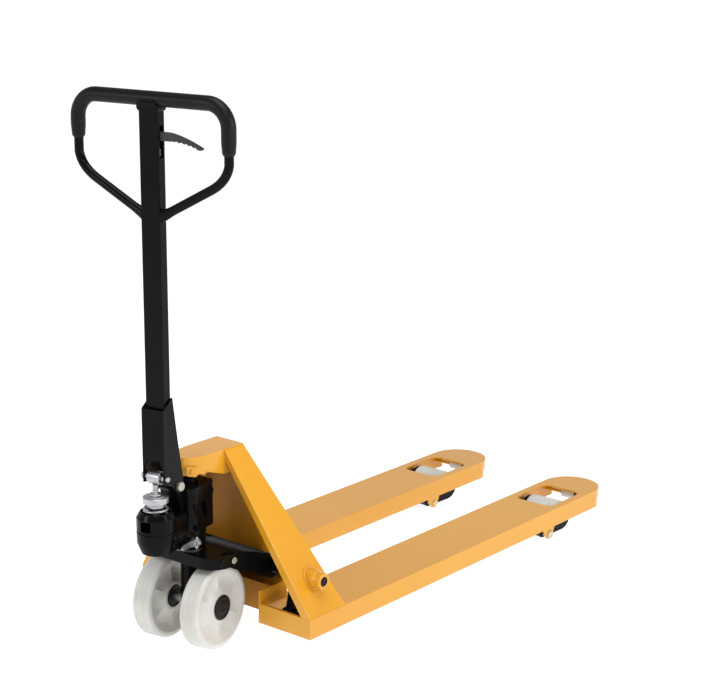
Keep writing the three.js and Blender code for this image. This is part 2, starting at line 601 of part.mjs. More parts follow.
// ---------------------------------------------------------------- handle
function socketOutline() {
  return shapeOf([
    [SOCKET.front, SOCKET.frontTop], [-89, SOCKET.rearTop], [-72, 513], [-55, 424], [-54, 402], [-62, 390],
    [-76, 389], [-96, 410], [-106, 418], [SOCKET.front, SOCKET.foot]]);
}

function handleBase() {
  const { front, half, sheet, frontTop, foot, arch } = SOCKET;
  const cheek = sidePlate(socketOutline(), half - sheet, half);
  const face = facePlate(shapeOf([
    [-half, frontTop], [-half, foot], [-half + sheet, foot], [-half + sheet, arch - 18],
    [-half + 14, arch], [half - 14, arch], [half - sheet, arch - 18], [half - sheet, foot], [half, foot],
    [half, frontTop]]), front, front + sheet);
  // packing plate between the folded sheet and the tube
  const packing = box(front + sheet - 1, TUBE.x - TUBE.depth / 2 - GAP, -half + 1, half - 1, TUBE.bottom, frontTop - 8);
  return union([cheek, mirrored(cheek), face, packing])
    .subtract(bar('y', -half - 1, half + 1, PIVOT.x, PIVOT.z, PIVOT.radius + RUN))
    .subtract(bar('y', -half - 1, half + 1, ROLLER.x, ROLLER.z, ROLLER.pin + GAP, ROLLER.pin + GAP, 16));
}

function handleTube() {
  const { x, depth, width, wall, bottom, top } = TUBE;
  const d = depth / 2;
  const w = width / 2;
  const outer = box(x - d, x + d, -w, w, bottom, top);
  const inner = box(x - d + wall, x + d - wall, -w + wall, w - wall, bottom - 1, top + 1);
  const slot = box(x - 6.5, x + 6.5, -w - 1, -w + wall + 1, LEVER.slotBottom, LEVER.slotTop);
  return outer.subtract(inner).subtract(slot)
    .subtract(bar('x', x - d - 1, x + d + 1, LEVER.y, LEVER.z, LEVER.pin + GAP, LEVER.pin + GAP, 12));
}

// Centre line of the D-shaped loop, from the right-hand joint over the top to the left-hand one.
function loopPath() {
  const { z, half, bend, joinZ, jointHalf } = LOOP;
  const side = [[jointHalf, joinZ - 8], [150, 1092]];
  const low = [half, 1150];
  const v = (y, h) => new THREE.Vector3(TUBE.x, y, h);
  const path = new THREE.CurvePath();
  path.add(new THREE.LineCurve3(v(-side[0][0], side[0][1]), v(-side[1][0], side[1][1])));
  path.add(new THREE.QuadraticBezierCurve3(v(-side[1][0], side[1][1]), v(-half + 6, 1115), v(-low[0], low[1])));
  path.add(new THREE.LineCurve3(v(-low[0], low[1]), v(-half, z - bend)));
  path.add(new THREE.CubicBezierCurve3(v(-half, z - bend), v(-half, z - bend * 0.45), v(-half + bend * 0.45, z), v(-half + bend, z)));
  path.add(new THREE.LineCurve3(v(-half + bend, z), v(half - bend, z)));
  path.add(new THREE.CubicBezierCurve3(v(half - bend, z), v(half - bend * 0.45, z), v(half, z - bend * 0.45), v(half, z - bend)));
  path.add(new THREE.LineCurve3(v(half, z - bend), v(low[0], low[1])));
  path.add(new THREE.QuadraticBezierCurve3(v(low[0], low[1]), v(half - 6, 1115), v(side[1][0], side[1][1])));
  path.add(new THREE.LineCurve3(v(side[1][0], side[1][1]), v(side[0][0], side[0][1])));
  return path;
}

// The points of the loop's path where it bends, and its ends, as one smooth run for sweeping.
function sweepPath(path, lowest) {
  const points = [];
  for (const curve of path.curves) {
    const straight = curve.isLineCurve3;
    const steps = straight ? 1 : 6;
    for (let i = points.length ? 1 : 0; i <= steps; i += 1) points.push(curve.getPoint(i / steps));
  }
  return points.filter((point) => point.z > lowest);
}

// Sweeps a round section along points that lie in one plane of constant x.
function planarTube(points, radius, bore, sides) {
  const rings = [];
  for (let i = 0; i < points.length; i += 1) {
    const before = points[Math.max(i - 1, 0)];
    const after = points[Math.min(i + 1, points.length - 1)];
    const inDir = points[i].clone().sub(before);
    const outDir = after.clone().sub(points[i]);
    const tangent = inDir.normalize().add(outDir.normalize()).normalize();
    rings.push({ at: points[i], side: new THREE.Vector3(0, -tangent.z, tangent.y) });
  }
  const skin = (r) => {
    const p = [];
    for (const { at, side } of rings) {
      for (let k = 0; k < sides; k += 1) {
        const a = 2 * Math.PI * k / sides;
        p.push(at.x + r * Math.cos(a), at.y + side.y * r * Math.sin(a), at.z + side.z * r * Math.sin(a));
      }
    }
    return p;
  };
  const index = [];
  const wall = (offset, flip) => {
    for (let i = 0; i + 1 < rings.length; i += 1) {
      for (let k = 0; k < sides; k += 1) {
        const a = offset + i * sides + k;
        const b = offset + i * sides + (k + 1) % sides;
        const quad = flip ? [a, a + sides, b, b, a + sides, b + sides] : [a, b, a + sides, b, b + sides, a + sides];
        index.push(...quad);
      }
    }
  };
  const count = rings.length * sides;
  const positions = bore ? [...skin(radius), ...skin(bore)] : skin(radius);
  wall(0, false);
  if (bore) wall(count, true);
  for (let k = 0; k < sides; k += 1) {
    const next = (k + 1) % sides;
    const last = count - sides;
    if (bore) {
      index.push(k, count + k, next, next, count + k, count + next);
      index.push(last + k, last + next, count + last + k, last + next, count + last + next, count + last + k);
    } else if (k > 0 && k < sides - 1) {
      index.push(0, next, k, last, last + k, last + next);
    }
  }
  const geometry = new THREE.BufferGeometry();
  geometry.setAttribute('position', new THREE.Float32BufferAttribute(positions, 3));
  geometry.setIndex(index);
  const tube = solid(geometry);
  if (tube.volume() > 0) return tube;
  geometry.setIndex(index.slice().reverse());
  return solid(geometry);
}

function handleLoop() {
  const inside = TUBE.width / 2 + GAP;
  const tubeSpace = box(TUBE.x - 20, TUBE.x + 20, -inside, inside, LOOP.joinZ - 50, LOOP.joinZ + 50);
  return planarTube(sweepPath(loopPath(), 0), LOOP.radius, 0, 12).subtract(tubeSpace);
}

function gripSleeve() {
  const points = sweepPath(loopPath(), GRIP.leftEnd + 10);
  const right = new THREE.Vector3(TUBE.x, -LOOP.half, GRIP.rightEnd);
  const left = new THREE.Vector3(TUBE.x, LOOP.half, GRIP.leftEnd);
  return planarTube([right, ...points, left], GRIP.radius, LOOP.radius + 2 * GAP, 12);
}

function fingerLever() {
  const { z, y, tip, drop, thick, pin } = LEVER;
  const end = z - drop;
  const shape = new THREE.Shape();
  shape.moveTo(2, z + 9);
  shape.lineTo(2, z - 9);
  shape.lineTo(-40, z - 9);
  shape.quadraticCurveTo(-90, z - 8, tip + 6, end - 6);
  shape.quadraticCurveTo(tip - 4, end - 8, tip, end - 1);
  shape.quadraticCurveTo(-80, z + 6, -46, z + 10);
  shape.lineTo(-18, z + 10);
  const half = thick / 2;
  return facePlate(shape, TUBE.x - half, TUBE.x + half, 5)
    .subtract(bar('x', TUBE.x - 20, TUBE.x + 20, y, z, pin + RUN, pin + RUN, 12));
}

function leverPin() {
  const reach = TUBE.depth / 2 + 1;
  return bar('x', TUBE.x - reach, TUBE.x + reach, LEVER.y, LEVER.z, LEVER.pin, LEVER.pin, 12);
}

function releaseRod() {
  const clevis = box(TUBE.x - 4, TUBE.x + 4, -20, 11, LEVER.slotBottom + 4, LEVER.slotBottom + 19);
  return bar('z', TUBE.bottom + 20, LEVER.slotBottom + 10, TUBE.x, 8, 3, 3, 12).add(clevis);
}

function pressureRoller() {
  const { x, z, radius, half, pin } = ROLLER;
  return ring('y', -half, half, x, z, radius, pin + RUN);
}

function rollerPin() {
  const { x, z, pin } = ROLLER;
  const end = SOCKET.half + 6;
  return bar('y', -end, end, x, z, pin, pin, 16).add(bar('y', SOCKET.half + GAP, end, x, z, 9, 8, 16));
}

// ---------------------------------------------------------------- assembly
put(jack, 'head_housing', headHousing(), PAINT.yellow);
put(jack, 'bulkhead', bulkhead(), PAINT.yellow);
putPair(jack, 'fork', fork(), PAINT.yellow);
put(jack, 'cross_member', crossMember(), PAINT.yellow);
putPair(jack, 'shaft_boss', shaftBoss(), PAINT.yellow);
putPair(jack, 'shaft_cap', shaftCap(), PLASTIC.cap);
put(jack, 'retaining_strap', retainingStrap(), PAINT.yellow);
putPair(jack, 'entry_pin', entryPin(), METAL.zinc);
putPair(jack, 'entry_roller', entryRoller(), PLASTIC.nylon);
putPair(jack, 'yoke_pivot_pin', yokePin(), METAL.zinc);

put(jack, 'rocker_arm', rockerArm(), PAINT.black);
put(jack, 'torsion_shaft', bar('y', -SHAFT.half, SHAFT.half, SHAFT.x, SHAFT.z, SHAFT.radius), PAINT.black);
putPair(jack, 'rod_lever', rodLever(), PAINT.black);
putPair(jack, 'push_rod', pushRod(), PAINT.black);
putPair(jack, 'yoke', yoke(), PAINT.black);
putPair(jack, 'load_roller', loadRoller(), PLASTIC.nylon);
putPair(jack, 'load_axle', loadAxle(), METAL.zinc);

put(jack, 'bracket', bracket(), PAINT.black);
putPair(jack, 'bracket_pin', bracketPin(), METAL.rod);
put(jack, 'thrust_bearing', thrustBearing(), METAL.steel);

put(steerUnit, 'pump_body', pumpBody(), PAINT.black);
put(steerUnit, 'seal_collar', sealCollar(), PAINT.black);
put(steerUnit, 'ram', ram(), METAL.zinc);
put(steerUnit, 'plunger', plunger(), METAL.zinc);
put(steerUnit, 'plunger_spring', plungerSpring(), METAL.steel);
put(steerUnit, 'pivot_shaft', pivotShaft(), METAL.rod);
put(steerUnit, 'release_lever', releaseLever(), METAL.zinc);
putPair(steerUnit, 'steer_wheel', steerWheel(), PLASTIC.nylon);
putPair(steerUnit, 'wheel_bearing', wheelBearing(), PLASTIC.cap);
putPair(steerUnit, 'hub_cap', hubCap(), PLASTIC.cap);
put(steerUnit, 'steer_axle', steerAxle(), METAL.zinc);

put(steerUnit, 'handle_base', handleBase(), PAINT.black);
put(steerUnit, 'handle_tube', handleTube(), PAINT.black);
put(steerUnit, 'handle_loop', handleLoop(), PAINT.black);
put(steerUnit, 'grip_sleeve', gripSleeve(), PLASTIC.rubber);
put(steerUnit, 'finger_lever', fingerLever(), PLASTIC.cap);
put(steerUnit, 'lever_pin', leverPin(), METAL.zinc);
put(steerUnit, 'release_rod', releaseRod(), METAL.zinc);
put(steerUnit, 'pressure_roller', pressureRoller(), METAL.zinc);
put(steerUnit, 'roller_pin', rollerPin(), METAL.zinc);

jack.updateMatrixWorld(true);
const footprint = new THREE.Box3().setFromObject(jack, true);
jack.position.x = -(footprint.min.x + footprint.max.x) / 2;
jack.updateMatrixWorld(true);

export default jack;
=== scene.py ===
"""Looks of the hand pallet jack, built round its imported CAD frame.

Everything is in metres in the frame of the part: +X towards the fork tips, +Y to the left fork,
+Z up from the floor. The steering unit stands turned about its upright axis, so its pieces are
laid out in a turned frame (STEER) whose x runs forward, y to the left and z up from the floor.
"""

import json
import math

import bmesh
import bpy
from mathutils import Matrix, Vector
from mathutils.bvhtree import BVHTree


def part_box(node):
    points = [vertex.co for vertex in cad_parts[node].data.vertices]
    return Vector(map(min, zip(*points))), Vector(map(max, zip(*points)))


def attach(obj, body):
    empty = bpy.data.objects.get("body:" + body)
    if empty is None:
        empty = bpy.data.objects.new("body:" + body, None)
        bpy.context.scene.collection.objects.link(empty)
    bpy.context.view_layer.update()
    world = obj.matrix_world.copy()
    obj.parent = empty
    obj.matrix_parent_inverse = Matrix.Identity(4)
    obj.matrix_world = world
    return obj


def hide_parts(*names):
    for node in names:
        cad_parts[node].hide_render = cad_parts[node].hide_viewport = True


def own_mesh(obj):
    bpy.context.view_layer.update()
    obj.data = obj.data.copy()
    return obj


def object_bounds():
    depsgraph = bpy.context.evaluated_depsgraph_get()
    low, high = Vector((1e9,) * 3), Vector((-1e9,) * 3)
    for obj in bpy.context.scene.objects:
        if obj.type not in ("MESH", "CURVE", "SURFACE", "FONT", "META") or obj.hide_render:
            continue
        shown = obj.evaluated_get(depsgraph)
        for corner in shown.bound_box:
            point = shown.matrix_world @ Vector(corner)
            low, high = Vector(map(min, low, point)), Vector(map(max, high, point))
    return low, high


MM = 0.001
TAU = 2 * math.pi

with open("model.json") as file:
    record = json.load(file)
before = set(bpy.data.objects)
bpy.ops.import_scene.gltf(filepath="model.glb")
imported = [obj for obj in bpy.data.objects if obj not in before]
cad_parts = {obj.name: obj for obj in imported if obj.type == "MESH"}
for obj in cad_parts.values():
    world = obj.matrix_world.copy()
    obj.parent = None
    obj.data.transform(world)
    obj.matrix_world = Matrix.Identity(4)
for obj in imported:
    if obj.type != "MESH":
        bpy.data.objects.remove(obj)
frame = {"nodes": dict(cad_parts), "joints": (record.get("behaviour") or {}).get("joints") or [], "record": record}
cad_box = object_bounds()
record = frame["record"]
BODY_OF = {n: b for b, nodes in record["behaviour"]["bodies"].items() for n in nodes}
SLOT_OF = {s["node"]: s["material_slot"] for s in record["subparts"]}
JOINT = {j["name"]: j for j in frame["joints"]}

# ------------------------------------------------------------------ the turned frame
axle_way = Vector(JOINT["steer_wheel_left_spin"]["axis"])
TURN = math.atan2(-axle_way.x, axle_way.y)
POST = Vector(JOINT["steering"]["pos_m"])
STEER = Matrix.Translation((POST.x, POST.y, 0)) @ Matrix.Rotation(TURN, 4, "Z")
WORLD = Matrix.Identity(4)


def box_in(place, node):
    """Lowest and highest corner of a CAD node in the frame that place describes."""
    back = place.inverted()
    points = [back @ v.co for v in frame["nodes"][node].data.vertices]
    low = Vector([min(p[i] for p in points) for i in range(3)])
    high = Vector([max(p[i] for p in points) for i in range(3)])
    return low, high


def surface(node, start, way):
    """Where a ray from start first meets a CAD node, or None."""
    mesh = frame["nodes"][node].data
    tree = BVHTree.FromPolygons([v.co for v in mesh.vertices], [p.vertices for p in mesh.polygons])
    return tree.ray_cast(Vector(start), Vector(way))[0]


# ------------------------------------------------------------------ materials
PATCH_DETAIL, GRAIN_DETAIL, STAIN_DETAIL = 6, 3, 9
RAMP_FROM, RAMP_TO = 0.3, 0.7
SMOOTHEST = 0.02
RELIEF_STRENGTH = 0.35
STAIN_FINER = 3.1
STAIN_FROM, STAIN_TO, STAIN_MOST = 0.56, 0.78, 0.55


def links(tree, *pairs):
    """Joins each pair of sockets."""
    for out, into in pairs:
        tree.links.new(out, into)


def look(name, base, other, rough, metallic=0.0, coat=0.0, patch=6.0, grain=400.0, bump=0.02,
         stretch=(1, 1, 1), spread=0.08, dirt=None, coat_rough=0.06, specular=0.5, glow=0.0):
    """A painted, plated or moulded surface: patchy colour, uneven gloss, fine grain and perhaps stains."""
    material = bpy.data.materials.new(name)
    material.use_nodes = True
    tree = material.node_tree
    shader = tree.nodes["Principled BSDF"]
    shader.inputs["Metallic"].default_value = metallic
    shader.inputs["Coat Weight"].default_value = coat
    shader.inputs["Coat Roughness"].default_value = coat_rough
    shader.inputs["Specular IOR Level"].default_value = specular
    shader.inputs["Emission Strength"].default_value = glow
    shader.inputs["Emission Color"].default_value = (1, 1, 1, 1)
    where = tree.nodes.new("ShaderNodeTexCoord")
    mapped = tree.nodes.new("ShaderNodeMapping")
    mapped.inputs["Scale"].default_value = stretch
    patches = tree.nodes.new("ShaderNodeTexNoise")
    patches.inputs["Scale"].default_value = patch
    patches.inputs["Detail"].default_value = PATCH_DETAIL
    fine = tree.nodes.new("ShaderNodeTexNoise")
    fine.inputs["Scale"].default_value = grain
    fine.inputs["Detail"].default_value = GRAIN_DETAIL
    colour = tree.nodes.new("ShaderNodeValToRGB")
    colour.color_ramp.elements[0].position = RAMP_FROM
    colour.color_ramp.elements[0].color = (*other, 1)
    colour.color_ramp.elements[1].position = RAMP_TO
    colour.color_ramp.elements[1].color = (*base, 1)
    gloss = tree.nodes.new("ShaderNodeMapRange")
    gloss.inputs["To Min"].default_value = max(SMOOTHEST, rough - spread)
    gloss.inputs["To Max"].default_value = rough + spread
    relief = tree.nodes.new("ShaderNodeBump")
    relief.inputs["Strength"].default_value = RELIEF_STRENGTH
    relief.inputs["Distance"].default_value = bump * MM
    links(tree, (where.outputs["Object"], mapped.inputs["Vector"]),
          (mapped.outputs["Vector"], patches.inputs["Vector"]),
          (mapped.outputs["Vector"], fine.inputs["Vector"]),
          (patches.outputs["Fac"], colour.inputs["Fac"]),
          (patches.outputs["Fac"], gloss.inputs["Value"]),
          (gloss.outputs["Result"], shader.inputs["Roughness"]),
          (fine.outputs["Fac"], relief.inputs["Height"]),
          (relief.outputs["Normal"], shader.inputs["Normal"]))
    top = colour.outputs["Color"]
    if dirt:
        stain = tree.nodes.new("ShaderNodeTexNoise")
        stain.inputs["Scale"].default_value = patch * STAIN_FINER
        stain.inputs["Detail"].default_value = STAIN_DETAIL
        share = tree.nodes.new("ShaderNodeMapRange")
        share.inputs["From Min"].default_value = STAIN_FROM
        share.inputs["From Max"].default_value = STAIN_TO
        share.inputs["To Max"].default_value = STAIN_MOST
        mix = tree.nodes.new("ShaderNodeMix")
        mix.data_type = "RGBA"
        mix.inputs["B"].default_value = (*dirt, 1)
        links(tree, (mapped.outputs["Vector"], stain.inputs["Vector"]),
              (stain.outputs["Fac"], share.inputs["Value"]),
              (share.outputs["Result"], mix.inputs["Factor"]), (top, mix.inputs["A"]))
        top = mix.outputs["Result"]
    tree.links.new(top, shader.inputs["Base Color"])
    return material


YELLOW = look("enamel_yellow", (0.70, 0.325, 0.014), (0.66, 0.295, 0.011), 0.36, coat=0.75,
              coat_rough=0.16, specular=0.15, patch=3.0, grain=260.0, bump=0.06, spread=0.06)
# A darker, less glossy copy of the yellow enamel: painted shade for the bulkhead and cross member, which lie in
# shadow.
YELLOW_PAINTED_SHADE = look("enamel_painted_shade", (0.46, 0.19, 0.008), (0.30, 0.115, 0.006), 0.45, specular=0.2,
              patch=5.0, grain=260.0, bump=0.06, spread=0.06)
SOOT = look("casting_black", (0.002, 0.002, 0.0022), (0.004, 0.004, 0.0045), 0.5, specular=0.05,
            patch=9.0, grain=200.0, bump=0.2)
BLACK = look("enamel_black", (0.002, 0.002, 0.0022), (0.0035, 0.0035, 0.004), 0.16, specular=0.09,
             patch=9.0, grain=300.0, bump=0.08, spread=0.08)
ZINC = look("zinc_plate", (0.50, 0.51, 0.52), (0.38, 0.39, 0.41), 0.36, metallic=1.0, patch=40.0,
            grain=900.0, bump=0.02, spread=0.12, dirt=(0.30, 0.27, 0.22))
STEEL = look("ground_steel", (0.60, 0.57, 0.50), (0.42, 0.40, 0.36), 0.34, metallic=0.85, patch=60.0,
             grain=700.0, bump=0.03, stretch=(1, 1, 6), dirt=(0.36, 0.25, 0.14))
NYLON = look("cast_nylon", (0.64, 0.635, 0.60), (0.52, 0.515, 0.48), 0.42, coat=0.1, patch=14.0,
             grain=220.0, bump=0.12, spread=0.1, dirt=(0.58, 0.54, 0.46))
RUBBER = look("grip_rubber", (0.004, 0.004, 0.0045), (0.006, 0.006, 0.0065), 0.4, patch=12.0,
              grain=650.0, bump=0.1, specular=0.16)
PLASTIC = look("black_plastic", (0.004, 0.004, 0.005), (0.007, 0.007, 0.008), 0.4, patch=30.0,
               grain=800.0, bump=0.1, specular=0.16)
LEVER_GREY = look("lever_plastic", (0.020, 0.020, 0.022), (0.030, 0.030, 0.033), 0.5, patch=40.0,
                  grain=700.0, bump=0.15, specular=0.35)
BRASS = look("yellow_zinc", (0.66, 0.58, 0.42), (0.52, 0.45, 0.32), 0.3, metallic=1.0, patch=50.0,
             grain=800.0, bump=0.03)
SLOT_LOOK = {"yellow_paint": YELLOW, "black_paint": BLACK, "zinc_plate": ZINC, "pin_steel": STEEL,
             "nylon": NYLON, "rubber_grip": RUBBER, "black_plastic": PLASTIC}


# ------------------------------------------------------------------ meshes
SOFTENED_FROM = math.radians(30)
FLAT_WITHIN = math.radians(0.6)
SAME_POINT = 0.02 * MM
BEVEL_PROFILE = 0.6
ON_AXIS = 1e-9
CORNER_SHARE = 0.45


def place_mesh(name, mesh, node, material, stands_for, crease, level=False):
    """Finishes a mesh as a piece that moves with a CAD node's body."""
    mesh.materials.clear()
    mesh.materials.append(material or SLOT_LOOK[SLOT_OF[node]])
    for face in mesh.polygons:
        face.use_smooth = True
    mesh.set_sharp_from_angle(angle=math.radians(crease))
    piece = bpy.data.objects.new(name, mesh)
    bpy.context.scene.collection.objects.link(piece)
    if level:
        piece.modifiers.new("level", "WEIGHTED_NORMAL").keep_sharp = True
    if stands_for:
        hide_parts(*stands_for)
    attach(piece, BODY_OF[node])
    return piece


def build(name, shape, node, place=WORLD, material=None, stands_for=(), crease=32, bevel=0.0, steps=2):
    """A piece from (points, faces), given in the frame that place describes, in metres."""
    points, faces = shape
    bm = bmesh.new()
    corners = [bm.verts.new(place @ Vector(p)) for p in points]
    for f in faces:
        bm.faces.new([corners[i] for i in f])
    bmesh.ops.recalc_face_normals(bm, faces=bm.faces)
    if bevel:
        soften_edges(bm, bevel, steps)
    mesh = bpy.data.meshes.new(name)
    bm.to_mesh(mesh)
    bm.free()
    return place_mesh(name, mesh, node, material, stands_for, crease, bevel > 0)


def soften_edges(bm, width, steps, pick=None):
    """Rounds a mesh's sharp edges, or those of them that pick accepts."""
    edges = [e for e in bm.edges if len(e.link_faces) == 2 and e.calc_face_angle(0) > SOFTENED_FROM
             and (pick is None or pick(e))]
    bmesh.ops.bevel(bm, geom=edges, offset=width, segments=steps, profile=BEVEL_PROFILE, affect="EDGES",
                    clamp_overlap=pick is None)
    bmesh.ops.triangulate(bm, faces=[f for f in bm.faces if len(f.verts) > 4], ngon_method="EAR_CLIP")


def dressed(node, width=1.2, steps=2, material=None, crease=50, pick=None):
    """A CAD node's own shape with its flat faces joined up and its edges eased by width in mm."""
    bm = bmesh.new()
    bm.from_mesh(frame["nodes"][node].data)
    bmesh.ops.remove_doubles(bm, verts=bm.verts, dist=SAME_POINT)
    bmesh.ops.dissolve_limit(bm, angle_limit=FLAT_WITHIN, verts=bm.verts, edges=bm.edges)
    soften_edges(bm, width * MM, steps, pick)
    bmesh.ops.recalc_face_normals(bm, faces=bm.faces)
    mesh = bpy.data.meshes.new(node + "_skin")
    bm.to_mesh(mesh)
    bm.free()
    return place_mesh(node + "_skin", mesh, node, material, (node,), crease, True)


def merged(*shapes):
    """Several (points, faces) shapes as one."""
    points, faces = [], []
    for p, f in shapes:
        start = len(points)
        points += p
        faces += [[i + start for i in face] for face in f]
    return points, faces


def eased(profile, reach, closed, steps=3):
    """The profile with each corner rounded back by reach, or less where its sides are short."""
    points = [Vector(p) for p in profile]
    count = len(points)
    out = []
    for i, corner in enumerate(points):
        if not closed and i in (0, count - 1):
            out.append(corner)
            continue
        before, after = points[i - 1], points[(i + 1) % count]
        back, on = before - corner, after - corner
        cut = min(reach, CORNER_SHARE * back.length, CORNER_SHARE * on.length)
        a, b = corner + back.normalized() * cut, corner + on.normalized() * cut
        for k in range(steps + 1):
            t = k / steps
            out.append(a * (1 - t) ** 2 + corner * 2 * t * (1 - t) + b * t * t)
    return out


def turned(profile, reach=0.0, steps=64, ripple=None):
    """A profile of (radius, height) in mm turned about Z.

    It closes on itself, or both its ends are on the axis. A ripple lifts a point by its radius,
    height and angle.
    """
    closed = profile[0][0] > 0
    rows = eased(profile, reach, closed) if reach else [Vector(p) for p in profile]
    points, faces, rings = [], [], []
    for r, h in rows:
        if r <= ON_AXIS:
            rings.append([len(points)])
            points.append(Vector((0, 0, h)) * MM)
            continue
        ring = []
        for k in range(steps):
            a = TAU * k / steps
            lift = ripple(r, h, a) if ripple else 0.0
            ring.append(len(points))
            points.append(Vector((r * math.cos(a), r * math.sin(a), h + lift)) * MM)
        rings.append(ring)
    pairs = list(zip(rings, rings[1:] + (rings[:1] if closed else [])))
    for low, high in pairs if closed else pairs[:len(rings) - 1]:
        for k in range(steps):
            n = (k + 1) % steps
            if len(low) == 1:
                faces.append([low[0], high[k], high[n]])
            elif len(high) == 1:
                faces.append([low[k], high[0], low[n]])
            else:
                faces.append([low[k], high[k], high[n], low[n]])
    return points, faces


def swept(path, radius, sides=16, closed=False):
    """A round section carried along a path; radius is a number or a function of the share of the way."""
    line = [Vector(p) for p in path]
    count = len(line)
    thick = radius if callable(radius) else lambda share: radius

    def tangent(i):
        if closed:
            return (line[(i + 1) % count] - line[i - 1]).normalized()
        return (line[min(i + 1, count - 1)] - line[max(i - 1, 0)]).normalized()

    side = tangent(0).orthogonal().normalized()
    points, rings = [], []
    for i, at in enumerate(line):
        way = tangent(i)
        side = (side - way * side.dot(way)).normalized()
        up = way.cross(side)
        r = thick(i / (count if closed else count - 1))
        rings.append(range(len(points), len(points) + sides))
        points += [at + (side * math.cos(TAU * k / sides) + up * math.sin(TAU * k / sides)) * r
                   for k in range(sides)]
    faces = []
    for i in range(count if closed else count - 1):
        low, high = rings[i], rings[(i + 1) % count]
        faces += [[low[k], low[(k + 1) % sides], high[(k + 1) % sides], high[k]] for k in range(sides)]
    if not closed:
        for ring, at in ((rings[0], line[0]), (rings[-1], line[-1])):
            tip = len(points)
            points.append(at)
            faces += [[ring[k], ring[(k + 1) % sides], tip] for k in range(sides)]
    return points, faces


def plate(outline, low, high):
    """A flat outline of (x, y) in mm between two heights."""
    count = len(outline)
    points = [Vector((x, y, h)) * MM for h in (low, high) for x, y in outline]
    faces = [list(range(count))[::-1], list(range(count, 2 * count))]
    faces += [[i, (i + 1) % count, count + (i + 1) % count, count + i] for i in range(count)]
    return points, faces


HEXAGON = 6
CHAMFER_SHARE, CHAMFER_DROP, TOP_SHARE = 0.12, 0.6, 0.93


def hexagon(across, height, base=0.0):
    """A hexagon head or nut with its top corners eased off, in mm."""
    flat = across / 2
    tip = flat / math.cos(math.pi / HEXAGON)
    shoulder = base + height - CHAMFER_SHARE * across * CHAMFER_DROP
    levels = [(tip, base), (tip, shoulder), (flat * TOP_SHARE, base + height)]
    angles = [TAU * k / HEXAGON for k in range(HEXAGON)]
    points = [Vector((r * math.cos(a), r * math.sin(a), h)) * MM for r, h in levels for a in angles]
    faces = [list(range(HEXAGON))[::-1], list(range(2 * HEXAGON, 3 * HEXAGON))]
    for low in (0, HEXAGON):
        high = low + HEXAGON
        faces += [[low + k, low + (k + 1) % HEXAGON, high + (k + 1) % HEXAGON, high + k]
                  for k in range(HEXAGON)]
    return points, faces


WASHER_REACH, STUD_REACH = 0.8, 0.29


def bolt(across, height, washer=1.6, stud=0.0):
    """Washer, hexagon and, if wanted, the stud end that stands out of a nut, in mm."""
    rim = across * WASHER_REACH
    parts = [turned([(0, 0), (rim, 0), (rim, washer), (0, washer)], 0.4, 24),
             hexagon(across, height, washer)]
    if stud:
        r = across * STUD_REACH
        head = washer + height
        top = head + stud
        end = [(0, head - 0.5), (r, head - 0.5), (r, top - 0.8), (r - 0.8, top), (0, top)]
        parts.append(turned(end, 0, 20))
    return merged(*parts)


def facing(at, way, spin=0.0):
    """The frame whose z looks along way and whose origin is at."""
    look_along = Vector(way).to_track_quat("Z", "Y").to_matrix().to_4x4()
    return Matrix.Translation(at) @ look_along @ Matrix.Rotation(spin, 4, "Z")


def sideways(x):
    """The frame for a flat outline of (y, z) that is thick along X about the plane x, in metres."""
    return Matrix(((0, 0, 1, x), (1, 0, 0, 0), (0, 1, 0, 0), (0, 0, 0, 1)))


BEAD_STEP = 0.8 * MM
BEAD_END, BEAD_TAPER = 0.25, 12
RIPPLE_HEIGHT = 0.16


def weld(name, path, radius, node, place=WORLD, closed=False, material=None, pitch=3.2):
    """A rippled weld bead laid along a path of points in metres; radius and pitch are in mm."""
    line = [Vector(p) for p in path]
    if closed:
        line.append(line[0])
    fine = []
    for a, b in zip(line, line[1:]):
        steps = max(1, round((b - a).length / BEAD_STEP))
        fine += [a.lerp(b, k / steps) for k in range(steps)]
    if not closed:
        fine.append(line[-1])
    length = sum((b - a).length for a, b in zip(line, line[1:]))
    ripples = max(3, round(length / (pitch * MM)))

    def thick(share):
        end = 1.0 if closed else min(1.0, BEAD_TAPER * min(share, 1 - share) + BEAD_END)
        return radius * MM * end * (1 + RIPPLE_HEIGHT * abs(math.sin(math.pi * ripples * share)))

    return build(name, swept(fine, thick, 10, closed), node, place, material or YELLOW, crease=60)


# ------------------------------------------------------------------ measures taken from the frame
def centre(box):
    return (box[0] + box[1]) / 2


def in_mm(length):
    return length / MM


SIDES = (("left", 1), ("right", -1))
FORWARD, LEFT = Vector((1, 0, 0)), Vector((0, 1, 0))
AXES = (FORWARD, LEFT, Vector((0, 0, 1)))


def mirrored(end):
    """A profile's upper end, carried on as its mirror image below."""
    return end + [(r, -h) for r, h in end[::-1]]


def crosswise(place, node):
    """The frame along a crosswise CAD bar from its middle, with its half length and radius in mm."""
    low, high = box_in(place, node)
    return place @ facing(centre((low, high)), LEFT), in_mm(high.y - low.y) / 2, in_mm(high.z - low.z) / 2


def from_end(place, node, sign):
    """The frame along a crosswise CAD bar from the end away from sign, with its length and radius in mm."""
    low, high = box_in(place, node)
    middle = centre((low, high))
    start = Vector((middle.x, low.y if sign > 0 else high.y, middle.z))
    return place @ facing(start, LEFT * sign), in_mm(high.y - low.y), in_mm(high.z - low.z) / 2


def upright(node):
    """The frame at the foot of an upright part of the steering unit, with its height and radius in mm."""
    low, high = box_in(STEER, node)
    middle = centre((low, high))
    foot = STEER @ Matrix.Translation((middle.x, middle.y, low.z))
    return foot, in_mm(high.z - low.z), in_mm(high.y - low.y) / 2


# ------------------------------------------------------------------ plain dressed sheet and castings
# The fold lies just inside the band's sharp corner; the outermost point is picked before the rearmost.
FOLD_RADIUS = 3.0 * MM
FOLD_INSET = 0.8 * FOLD_RADIUS
FOLD_STEPS = 24
OUTWARD_FIRST = 10


